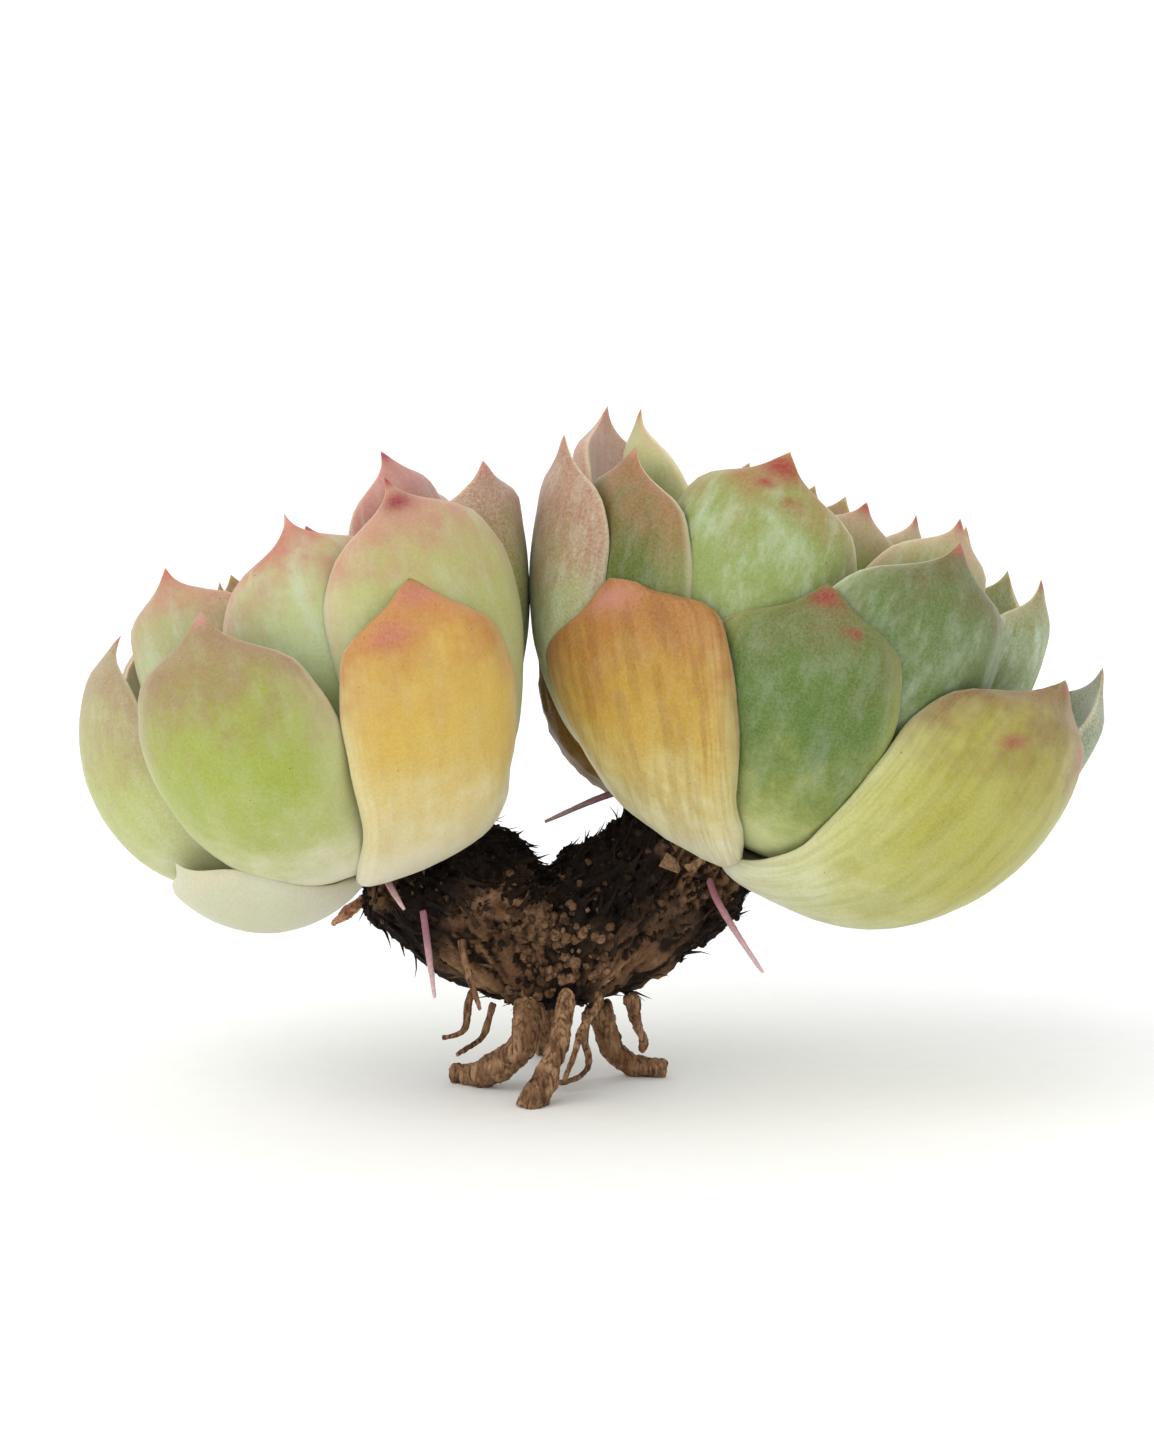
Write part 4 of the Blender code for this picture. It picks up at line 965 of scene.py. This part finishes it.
def makeBarkSkinTree():
    # raises lumps, torn strands along the grain and cracks, and keeps their height as "relief"
    tree, given = newGeometryTree("barkSkin", [
        ("Lump", "Float", 0.0011), ("Lump size mm", "Float", 3.4), ("Strand", "Float", 0.0011),
        ("Crack", "Float", 0.0009), ("Chunk", "Float", 0.002), ("Seed", "Float", 3.0),
        ("Material", "Material", None)])
    spot = addNode(tree, "GeometryNodeInputPosition")
    normal = addNode(tree, "GeometryNodeInputNormal")
    lumps = addNode(tree, "ShaderNodeTexNoise", {
        "Vector": spot, "W": given["Seed"],
        "Scale": addNode(tree, "ShaderNodeMath", {
            0: 1000.0, 1: given["Lump size mm"]}, operation="DIVIDE"),
        "Detail": 4.0, "Roughness": 0.55}, noise_dimensions="4D")
    # strands are about 1 mm wide and 8 mm long; below the fork they fan down into the roots
    armGrain = addNode(tree, "ShaderNodeTexNoise", {
        "Vector": addNode(tree, "ShaderNodeVectorMath", {
            0: addNode(tree, "GeometryNodeInputNamedAttribute", {
                "Name": "grainMm"}, data_type="FLOAT_VECTOR"),
            1: (1.3, 1.3, 0.13)}, operation="MULTIPLY"),
        "W": given["Seed"], "Scale": 1.0, "Detail": 4.0, "Roughness": 0.6,
        "Distortion": 0.25}, noise_dimensions="4D")
    fanGrain = addNode(tree, "ShaderNodeTexNoise", {
        "Vector": addNode(tree, "ShaderNodeVectorMath", {
            0: addNode(tree, "GeometryNodeInputNamedAttribute", {
                "Name": "fanMm"}, data_type="FLOAT_VECTOR"),
            1: (1.3, 0.13, 0.3)}, operation="MULTIPLY"),
        "W": given["Seed"], "Scale": 1.0, "Detail": 4.0, "Roughness": 0.6,
        "Distortion": 0.25}, noise_dimensions="4D")
    grain = addNode(tree, "ShaderNodeMix", {
        0: addNode(tree, "GeometryNodeInputNamedAttribute", {"Name": "fan"}, data_type="FLOAT"),
        2: armGrain, 3: fanGrain})
    holes = addNode(tree, "ShaderNodeTexNoise", {
        "Vector": spot, "W": addNode(tree, "ShaderNodeMath", {0: given["Seed"], 1: 9.0}, operation="ADD"),
        "Scale": 1000 / 1.5, "Detail": 3.0, "Roughness": 0.6}, noise_dimensions="4D")
    chunks = addNode(tree, "ShaderNodeTexNoise", {
        "Vector": spot, "W": addNode(tree, "ShaderNodeMath", {0: given["Seed"], 1: 4.0}, operation="ADD"),
        "Scale": 1000 / 1.1, "Detail": 3.0, "Roughness": 0.75, "Distortion": 0.4}, noise_dimensions="4D")
    crack = addNode(tree, "ShaderNodeMapRange", {
        "Value": holes, "From Min": 0.3, "From Max": 0.46, "To Min": -1.0,
        "To Max": 0.0}, interpolation_type="SMOOTHSTEP")
    rough = addNode(tree, "ShaderNodeMath", {
        0: addNode(tree, "GeometryNodeInputNamedAttribute", {"Name": "ragged"}, data_type="FLOAT"),
        1: 0.35}, operation="ADD")
    height = addNode(tree, "ShaderNodeMath", {
        0: addNode(tree, "ShaderNodeMath", {0: lumps, 1: 0.55}, operation="SUBTRACT"),
        1: given["Lump"]}, operation="MULTIPLY")
    strands = addNode(tree, "ShaderNodeMath", {
        0: addNode(tree, "ShaderNodeMath", {0: grain, 1: 0.55}, operation="SUBTRACT"),
        1: given["Strand"]}, operation="MULTIPLY")
    cracks = addNode(tree, "ShaderNodeMath", {
        0: addNode(tree, "ShaderNodeMath", {0: crack, 1: given["Crack"]}, operation="MULTIPLY"),
        1: rough}, operation="MULTIPLY")
    chunky = addNode(tree, "ShaderNodeMath", {
        0: addNode(tree, "ShaderNodeMath", {0: chunks, 1: 0.5}, operation="SUBTRACT"),
        1: given["Chunk"]}, operation="MULTIPLY")
    chunky = addNode(tree, "ShaderNodeMath", {
        0: chunky,
        1: addNode(tree, "GeometryNodeInputNamedAttribute", {
            "Name": "ragged"}, data_type="FLOAT")}, operation="MULTIPLY")
    total = addNode(tree, "ShaderNodeMath", {
        0: addNode(tree, "ShaderNodeMath", {0: height, 1: strands}, operation="ADD"),
        1: addNode(tree, "ShaderNodeMath", {0: cracks, 1: chunky}, operation="ADD")}, operation="ADD")
    offset = addNode(tree, "ShaderNodeVectorMath", {0: normal, "Scale": total}, operation="SCALE")
    moved = addNode(tree, "GeometryNodeSetPosition", {"Geometry": given["Geometry"], "Offset": offset})
    relief = addNode(tree, "ShaderNodeMapRange", {
        "Value": total, "From Min": -0.0009, "From Max": 0.0005})
    stored = addNode(tree, "GeometryNodeStoreNamedAttribute", {
        "Geometry": moved, "Name": "relief", "Value": relief}, data_type="FLOAT", domain="POINT")
    stored = addNode(tree, "GeometryNodeStoreNamedAttribute", {
        "Geometry": stored, "Name": "strand", "Value": grain}, data_type="FLOAT", domain="POINT")
    return endTree(tree, stored, given["Material"])


def makeShardTree():
    # scatters torn bark shards, thicker at their root end, along the grain where the bark is ragged
    tree, given = newGeometryTree("barkShards", [
        ("Density", "Float", 600000.0), ("Length mm", "Float", 1.6), ("Width mm", "Float", 0.4),
        ("Lift", "Float", 0.4), ("On collar", "Float", 0.0), ("Seed", "Int", 1),
        ("Material", "Material", None)])
    mask = addNode(tree, "ShaderNodeMix", {
        0: given["On collar"],
        2: addNode(tree, "GeometryNodeInputNamedAttribute", {"Name": "ragged"}, data_type="FLOAT"),
        3: addNode(tree, "GeometryNodeInputNamedAttribute", {"Name": "collar"}, data_type="FLOAT")})
    density = addNode(tree, "ShaderNodeMath", {0: mask, 1: given["Density"]}, operation="MULTIPLY")
    spread = addNode(tree, "GeometryNodeDistributePointsOnFaces", {
        "Mesh": given["Geometry"], "Density": density, "Seed": given["Seed"]})
    shard = addNode(tree, "GeometryNodeMeshCube", {
        "Size": (1.0, 1.0, 0.35), "Vertices X": 4, "Vertices Y": 2, "Vertices Z": 2})
    spot = addNode(tree, "ShaderNodeSeparateXYZ", {0: addNode(tree, "GeometryNodeInputPosition")}).outputs
    run = addNode(tree, "ShaderNodeMath", {0: spot[0], 1: 0.5}, operation="ADD")
    taper = addNode(tree, "ShaderNodeMath", {0: 1.05, 1: run}, operation="SUBTRACT")
    bend = addNode(tree, "ShaderNodeMath", {
        0: addNode(tree, "ShaderNodeMath", {0: run, 1: run}, operation="MULTIPLY"),
        1: 0.28}, operation="MULTIPLY")
    width = addNode(tree, "ShaderNodeMath", {
        0: addNode(tree, "ShaderNodeMath", {0: spot[1], 1: taper}, operation="MULTIPLY"),
        1: addNode(tree, "ShaderNodeMath", {
            0: given["Width mm"], 1: given["Length mm"]}, operation="DIVIDE")}, operation="MULTIPLY")
    thick = addNode(tree, "ShaderNodeMath", {
        0: addNode(tree, "ShaderNodeMath", {0: spot[2], 1: taper}, operation="MULTIPLY"),
        1: addNode(tree, "ShaderNodeMath", {
            0: given["Width mm"], 1: given["Length mm"]}, operation="DIVIDE")}, operation="MULTIPLY")
    shape = addNode(tree, "ShaderNodeCombineXYZ", {
        0: run, 1: width, 2: addNode(tree, "ShaderNodeMath", {0: thick, 1: bend}, operation="ADD")})
    shard = addNode(tree, "GeometryNodeSetPosition", {"Geometry": shard, "Position": shape})
    turned = addNode(tree, "FunctionNodeAlignRotationToVector", {
        "Rotation": spread.outputs["Rotation"],
        "Vector": addNode(tree, "GeometryNodeInputNamedAttribute", {
            "Name": "grainWay"}, data_type="FLOAT_VECTOR")}, axis="X", pivot_axis="Z")
    low = addNode(tree, "ShaderNodeCombineXYZ", {0: -0.5, 1: -0.9, 2: -0.6})
    high = addNode(tree, "ShaderNodeCombineXYZ", {0: 0.5, 1: 0.1, 2: 0.6})
    low = addNode(tree, "ShaderNodeVectorMath", {0: low, "Scale": given["Lift"]}, operation="SCALE")
    wild = addNode(tree, "FunctionNodeRandomValue", {
        0: low, 1: high, "Seed": given["Seed"]}, data_type="FLOAT_VECTOR")
    turned = addNode(tree, "FunctionNodeRotateRotation", {0: turned, 1: wild}, rotation_space="LOCAL")
    size = addNode(tree, "FunctionNodeRandomValue", {
        2: 0.45, 3: 1.3, "Seed": 4}, data_type="FLOAT").outputs[1]
    size = addNode(tree, "ShaderNodeMath", {
        0: size,
        1: addNode(tree, "ShaderNodeMath", {
            0: given["Length mm"], 1: 1000.0}, operation="DIVIDE")}, operation="MULTIPLY")
    placed = addNode(tree, "GeometryNodeInstanceOnPoints", {
        "Points": spread.outputs["Points"], "Instance": shard, "Rotation": turned, "Scale": size})
    shade = addNode(tree, "FunctionNodeRandomValue", {
        2: -0.3, 3: 0.4, "Seed": 8}, data_type="FLOAT").outputs[1]
    shade = addNode(tree, "ShaderNodeMath", {
        0: shade,
        1: addNode(tree, "GeometryNodeInputNamedAttribute", {
            "Name": "brown"}, data_type="FLOAT")}, operation="ADD")
    toned = addNode(tree, "GeometryNodeStoreNamedAttribute", {
        "Geometry": placed, "Name": "tone", "Value": shade}, data_type="FLOAT", domain="INSTANCE")
    toned = addNode(tree, "GeometryNodeRealizeInstances", {"Geometry": toned})
    jitter = addNode(tree, "ShaderNodeTexNoise", {
        "Vector": addNode(tree, "GeometryNodeInputPosition"), "Scale": 1000 / 0.6,
        "Detail": 2.0}).outputs[1]
    jitter = addNode(tree, "ShaderNodeVectorMath", {0: jitter, 1: (0.5, 0.5, 0.5)}, operation="SUBTRACT")
    jitter = addNode(tree, "ShaderNodeVectorMath", {0: jitter, "Scale": 0.0004}, operation="SCALE")
    torn = addNode(tree, "GeometryNodeSetPosition", {"Geometry": toned, "Offset": jitter})
    return endTree(tree, torn, given["Material"])


def makeCrumbTree():
    # scatters lumpy soil crumbs where "crumbs" is set
    tree, given = newGeometryTree("soilCrumbs", [
        ("Density", "Float", 900000.0), ("Size mm", "Float", 0.5), ("On bark", "Float", 0.0),
        ("Seed", "Int", 1),
        ("Material", "Material", None)])
    mask = addNode(tree, "ShaderNodeMix", {
        0: given["On bark"],
        2: addNode(tree, "GeometryNodeInputNamedAttribute", {"Name": "crumbs"}, data_type="FLOAT"),
        3: addNode(tree, "GeometryNodeInputNamedAttribute", {"Name": "ragged"}, data_type="FLOAT")})
    density = addNode(tree, "ShaderNodeMath", {0: mask, 1: given["Density"]}, operation="MULTIPLY")
    spread = addNode(tree, "GeometryNodeDistributePointsOnFaces", {
        "Mesh": given["Geometry"], "Density": density, "Seed": given["Seed"]})
    ball = addNode(tree, "GeometryNodeMeshIcoSphere", {"Radius": 0.5, "Subdivisions": 2})
    size = addNode(tree, "FunctionNodeRandomValue", {
        2: 0.35, 3: 1.6, "Seed": 5}, data_type="FLOAT").outputs[1]
    size = addNode(tree, "ShaderNodeMath", {
        0: size,
        1: addNode(tree, "ShaderNodeMath", {
            0: given["Size mm"], 1: 1000.0}, operation="DIVIDE")}, operation="MULTIPLY")
    spun = addNode(tree, "FunctionNodeRandomValue", {
        0: (0, 0, 0), 1: (6.3, 6.3, 6.3), "Seed": 6}, data_type="FLOAT_VECTOR")
    placed = addNode(tree, "GeometryNodeInstanceOnPoints", {
        "Points": spread.outputs["Points"], "Instance": ball, "Rotation": spun, "Scale": size})
    shade = addNode(tree, "FunctionNodeRandomValue", {
        2: 0.0, 3: 1.0, "Seed": 7}, data_type="FLOAT").outputs[1]
    toned = addNode(tree, "GeometryNodeStoreNamedAttribute", {
        "Geometry": placed, "Name": "tone", "Value": shade}, data_type="FLOAT", domain="INSTANCE")
    toned = addNode(tree, "GeometryNodeRealizeInstances", {"Geometry": toned})
    jitter = addNode(tree, "ShaderNodeTexNoise", {
        "Vector": addNode(tree, "GeometryNodeInputPosition"), "Scale": 1000 / 0.45,
        "Detail": 2.0}).outputs[1]
    jitter = addNode(tree, "ShaderNodeVectorMath", {0: jitter, 1: (0.5, 0.5, 0.5)}, operation="SUBTRACT")
    jitter = addNode(tree, "ShaderNodeVectorMath", {0: jitter, "Scale": 0.0006}, operation="SCALE")
    lumpy = addNode(tree, "GeometryNodeSetPosition", {"Geometry": toned, "Offset": jitter})
    return endTree(tree, lumpy, given["Material"])


def makeWoodSkinTree():
    # lengthwise ridges and knots for roots and rootlets, which never reach below the ground
    tree, given = newGeometryTree("woodSkin", [
        ("Knot", "Float", 0.0006), ("Knot size mm", "Float", 2.2), ("Ridge", "Float", 0.0004),
        ("Ridge width mm", "Float", 0.7), ("Seed", "Float", 0.0), ("Material", "Material", None)])
    spot = addNode(tree, "GeometryNodeInputPosition")
    normal = addNode(tree, "GeometryNodeInputNormal")
    knots = addNode(tree, "ShaderNodeTexNoise", {
        "Vector": spot, "W": given["Seed"],
        "Scale": addNode(tree, "ShaderNodeMath", {
            0: 1000.0, 1: given["Knot size mm"]}, operation="DIVIDE"),
        "Detail": 4.0, "Roughness": 0.6}, noise_dimensions="4D")
    ridges = addNode(tree, "ShaderNodeTexNoise", {
        "Vector": addNode(tree, "ShaderNodeVectorMath", {
            0: spot, 1: (1.0, 1.0, 0.2)}, operation="MULTIPLY"),
        "W": given["Seed"],
        "Scale": addNode(tree, "ShaderNodeMath", {
            0: 1000.0, 1: given["Ridge width mm"]}, operation="DIVIDE"),
        "Detail": 3.0, "Roughness": 0.6}, noise_dimensions="4D")
    height = addNode(tree, "ShaderNodeMath", {
        0: addNode(tree, "ShaderNodeMath", {
            0: addNode(tree, "ShaderNodeMath", {0: knots, 1: 0.5}, operation="SUBTRACT"),
            1: given["Knot"]}, operation="MULTIPLY"),
        1: addNode(tree, "ShaderNodeMath", {
            0: addNode(tree, "ShaderNodeMath", {0: ridges, 1: 0.5}, operation="SUBTRACT"),
            1: given["Ridge"]}, operation="MULTIPLY")}, operation="ADD")
    offset = addNode(tree, "ShaderNodeVectorMath", {0: normal, "Scale": height}, operation="SCALE")
    moved = addNode(tree, "ShaderNodeVectorMath", {0: spot, 1: offset}, operation="ADD")
    held = addNode(tree, "ShaderNodeVectorMath", {
        0: moved, 1: (-1.0, -1.0, 0.00001)}, operation="MAXIMUM")
    shaped = addNode(tree, "GeometryNodeSetPosition", {"Geometry": given["Geometry"], "Position": held})
    relief = addNode(tree, "ShaderNodeMapRange", {
        "Value": addNode(tree, "ShaderNodeMath", {0: knots, 1: ridges}, operation="ADD"), "From Min": 0.6,
        "From Max": 1.4})
    stored = addNode(tree, "GeometryNodeStoreNamedAttribute", {
        "Geometry": shaped, "Name": "relief", "Value": relief}, data_type="FLOAT", domain="POINT")
    return endTree(tree, stored, given["Material"])


barkSkinTree = makeBarkSkinTree()
shardTree = makeShardTree()
crumbTree = makeCrumbTree()
woodSkinTree = makeWoodSkinTree()

stemShape = {
    "around": 180, "rows": 300, "rootMouth": (-0.005, 0.010),
    "lump": 2.8, "lumpSize": 4.2, "strand": 2.0, "crack": 1.2, "chunk": 2.6,
    # dents are (x, y, z, radius, depth) in mm: the mouth over the front root, holes,
    # and the notch of the fork
    "dents": [(-8.0, -8.5, 13.0, 2.4, 1.8), (-1.5, -8.5, 15.0, 1.5, 1.2), (6.5, -8.5, 16.5, 1.8, 1.2),
              (-14.5, -7.5, 17.0, 2.0, 1.2), (-5.2, 0.0, 24.5, 2.2, 1.6), (-5.2, -4.5, 24.0, 1.8, 1.5),
              (-5.2, 4.5, 24.0, 1.8, 1.5), (1.0, 8.0, 14.0, 1.8, 1.3), (-9.0, 8.0, 17.0, 2.0, 1.4)],
    # brown where the bark is worn to wood: (share, place, radius) in metres, for the lower middle, the right
    # arm, the left arm's outer end and the back
    "worn": [(0.9, (-0.0095, -0.006, 0.0160), 0.0052), (0.9, (0.0045, -0.006, 0.0118), 0.0052),
             (0.8, (-0.0125, -0.006, 0.0105), 0.0042), (0.85, (0.012, -0.006, 0.0235), 0.0055),
             (0.8, (-0.023, -0.004, 0.022), 0.004), (0.35, (-0.002, 0.008, 0.014), 0.01)],
    # where soil clings, in the same way
    "soiled": [(1.0, (-0.004, -0.009, 0.016), 0.005), (0.8, (-0.007, -0.008, 0.010), 0.0035),
               (0.6, (0.001, -0.008, 0.011), 0.0035), (0.4, (-0.004, 0.0085, 0.013), 0.006)],
    "seamAt": -4.8, "seamDepth": 1.3, "seamWidth": 0.9,
    "shards": {"density": 300000, "length": 2.5, "width": 0.55, "lift": 0.22},
    "splinters": {"density": 240000, "length": 1.0, "width": 0.5, "lift": 0.35},
    "scraps": {"density": 260000, "length": 3.2, "width": 1.7, "lift": 0.5},
    "crumbs": 1300000, "crumbSize": 0.75, "barkCrumbs": 380000, "barkCrumbSize": 0.5,
}


def blob(points, centre, radius):
    # 1 at the centre of a soft ball, 0 beyond about its radius
    distance = np.linalg.norm(points - np.array(centre), axis=1)
    return np.exp(-(distance / radius) ** 2)


def makeStem():
    tip, rings, end = ringsOf("forked_stem", 18)
    if tip[0] > end[0]:
        tip, end, rings = end, tip, rings[::-1]
    around = stemShape["around"]
    dense = np.array([smoothAround(ring, around) for ring in rings])
    rows = np.concatenate([np.repeat(tip[None, None], around, axis=1), dense,
                           np.repeat(end[None, None], around, axis=1)])
    centres = rows.mean(axis=1)
    steps = np.concatenate([[0], np.cumsum(np.linalg.norm(np.diff(centres, axis=0), axis=1))])
    stations = np.linspace(0.004, 0.996, stemShape["rows"]) * steps[-1]
    grid = smoothAlong(rows, steps, stations)
    count = len(grid)
    points = np.concatenate([grid.reshape(-1, 3), [tip, end]])
    first, last = count * around, count * around + 1
    centre = np.concatenate([np.repeat(grid.mean(axis=1), around, axis=0), [tip, end]])
    outward = points - centre
    outward /= np.linalg.norm(outward, axis=1)[:, None] + 1e-9
    sunk = np.zeros(len(points))
    for x, y, z, radius, depth in stemShape["dents"]:
        sunk += depth / 1000 * blob(points, (x / 1000, y / 1000, z / 1000), radius / 1000)
    # a wandering groove down the front and back, where the two arms have grown together
    wander = 0.0006 * np.sin(points[:, 2] * 900)
    seam = (points[:, 0] - stemShape["seamAt"] / 1000 + wander) / (stemShape["seamWidth"] / 1000)
    seam = np.exp(-seam ** 2) * np.clip((points[:, 2] - 0.010) / 0.003, 0, 1)
    points = points - outward * (sunk + seam * stemShape["seamDepth"] / 1000)[:, None]
    stem = plainMesh("stem_bark", points, tubeFaces(count, around, first, last))
    mesh = stem.data
    turn = np.tile(np.arange(around) / around * 2 * math.pi, count)
    run = np.repeat(stations * 1000, around)
    grain = np.stack([np.cos(turn) * 7.5, np.sin(turn) * 7.5, run], axis=1)
    grain = np.concatenate([grain, [[0, 0, 0], [0, 0, steps[-1] * 1000]]])
    setPointValues(mesh, "grainMm", "FLOAT_VECTOR", grain)
    way = np.gradient(grid.mean(axis=1), axis=0)
    way = np.repeat(way / np.linalg.norm(way, axis=1)[:, None], around, axis=0)
    way = np.concatenate([way, [[0, 0, 1], [0, 0, 1]]])
    mouthX, mouthZ = stemShape["rootMouth"]
    outX, outZ = points[:, 0] - mouthX, points[:, 2] - mouthZ
    away = np.hypot(outX, outZ)
    fan = np.clip((0.0215 - points[:, 2]) / 0.006, 0, 1)
    fan *= np.clip((0.015 - abs(points[:, 0] - mouthX)) / 0.004, 0, 1)
    setPointValues(mesh, "fanMm", "FLOAT_VECTOR",
                   np.stack([np.arctan2(outX, outZ + 0.006) * 9, away * 1000, points[:, 1] * 1000], axis=1))
    setPointValues(mesh, "fan", "FLOAT", fan)
    fanWay = np.stack([outX, points[:, 1] * 0, outZ + 0.006], axis=1)
    fanWay /= np.linalg.norm(fanWay, axis=1)[:, None] + 1e-9
    setPointValues(mesh, "grainWay", "FLOAT_VECTOR", way * (1 - fan[:, None]) + fanWay * fan[:, None])
    brown = sum(share * blob(points, place, radius) for share, place, radius in stemShape["worn"])
    setPointValues(mesh, "brown", "FLOAT", np.clip(brown, 0, 1))
    ragged = 0.25 + 0.75 * np.clip((points[:, 2] - 0.014) / 0.006, 0, 1)
    ragged *= np.clip((0.0315 - points[:, 2]) / 0.004, 0, 1)
    setPointValues(mesh, "ragged", "FLOAT", ragged)
    collar = np.clip((points[:, 2] - 0.0215) / 0.003, 0, 1) * np.clip((0.0285 - points[:, 2]) / 0.002, 0, 1)
    collar *= np.clip((np.abs(points[:, 0] + 0.005) - 0.011) / 0.003, 0, 1)
    setPointValues(mesh, "collar", "FLOAT", collar)
    crumbs = sum(share * blob(points, place, radius) for share, place, radius in stemShape["soiled"])
    setPointValues(mesh, "crumbs", "FLOAT", np.clip(crumbs, 0, 1) ** 1.5)
    tubeMap(mesh, around, np.arange(count) / (count - 1), first, last)
    faceOutward(mesh)
    runTree(stem, barkSkinTree, {
        "Lump": stemShape["lump"] / 1000, "Lump size mm": stemShape["lumpSize"],
        "Strand": stemShape["strand"] / 1000,
        "Crack": stemShape["crack"] / 1000, "Chunk": stemShape["chunk"] / 1000, "Seed": 3.0,
        "Material": bark})
    smooth(stem.data)
    return stem


def scatterOn(stem, name, tree, values):
    made = bpy.data.objects.new(name, stem.data.copy())
    bpy.context.scene.collection.objects.link(made)
    runTree(made, tree, values)
    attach(made, "root")
    return made


stem = makeStem()
for name, part, onCollar, seed in (("bark_shards", "shards", 0.0, 2), ("bark_splinters", "splinters", 0.0, 5),
                                   ("leaf_base_scraps", "scraps", 1.0, 9)):
    look = stemShape[part]
    scatterOn(stem, name, shardTree, {
        "Density": float(look["density"]), "Length mm": look["length"], "Width mm": look["width"],
        "Lift": look["lift"], "On collar": onCollar, "Seed": seed,
        "Material": dryScrap if onCollar else shardBark})
scatterOn(stem, "soil_crumbs", crumbTree, {
    "Density": float(stemShape["crumbs"]), "Size mm": stemShape["crumbSize"], "On bark": 0.0, "Seed": 3,
    "Material": soil})
scatterOn(stem, "bark_crumbs", crumbTree, {
    "Density": float(stemShape["barkCrumbs"]), "Size mm": stemShape["barkCrumbSize"], "On bark": 1.0,
    "Seed": 11,
    "Material": shardBark})
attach(stem, "root")
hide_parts("forked_stem")
print("stem, shards and crumbs made")


# knot and ridge are heights in mm over features of knotSize and ridgeWidth mm
rootLooks = {
    "root_": {"knot": 1.5, "knotSize": 2.4, "ridge": 0.9, "ridgeWidth": 0.8, "levels": 3,
              "slot": "root_wood"},
    "rootlet_": {"knot": 0.5, "knotSize": 1.2, "ridge": 0.2, "ridgeWidth": 0.4, "levels": 2,
                 "slot": "root_wood"},
    "aerial_root_": {"knot": 0.12, "knotSize": 1.0, "ridge": 0.06, "ridgeWidth": 0.3, "levels": 2,
                     "slot": "young_root"},
    "dry_leaf_": {"knot": 1.1, "knotSize": 1.4, "ridge": 0.4, "ridgeWidth": 0.6, "levels": 3,
                  "slot": "dry_leaf"},
}
rootFinish = {"root_wood": rootWood, "young_root": livingRoot, "dry_leaf": dryScale}


def makeRootLike(name, look, seed):
    work = weldedCopy(name)
    mesh = bpy.data.meshes.new(name + "_skin")
    work.to_mesh(mesh)
    work.free()
    made = bpy.data.objects.new(name + "_skin", mesh)
    bpy.context.scene.collection.objects.link(made)
    smooth(mesh)
    rounded = made.modifiers.new("rounded", "SUBSURF")
    rounded.levels = rounded.render_levels = look["levels"]
    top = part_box(name)[1]
    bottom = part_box(name)[0]
    places = np.array([v.co[:] for v in mesh.vertices])
    setPointValues(mesh, "fromStem", "FLOAT", (top[2] - places[:, 2]) / max(1e-6, top[2] - bottom[2]))
    runTree(made, woodSkinTree, {
        "Knot": look["knot"] / 1000, "Knot size mm": look["knotSize"], "Ridge": look["ridge"] / 1000,
        "Ridge width mm": look["ridgeWidth"], "Seed": seed, "Material": rootFinish[look["slot"]]})
    made.modifiers.clear()
    smooth(made.data)
    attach(made, "root")
    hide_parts(name)


for number, name in enumerate(sorted(nodes)):
    for start, look in rootLooks.items():
        if name.startswith(start):
            makeRootLike(name, look, number * 3.7)
print("roots made")
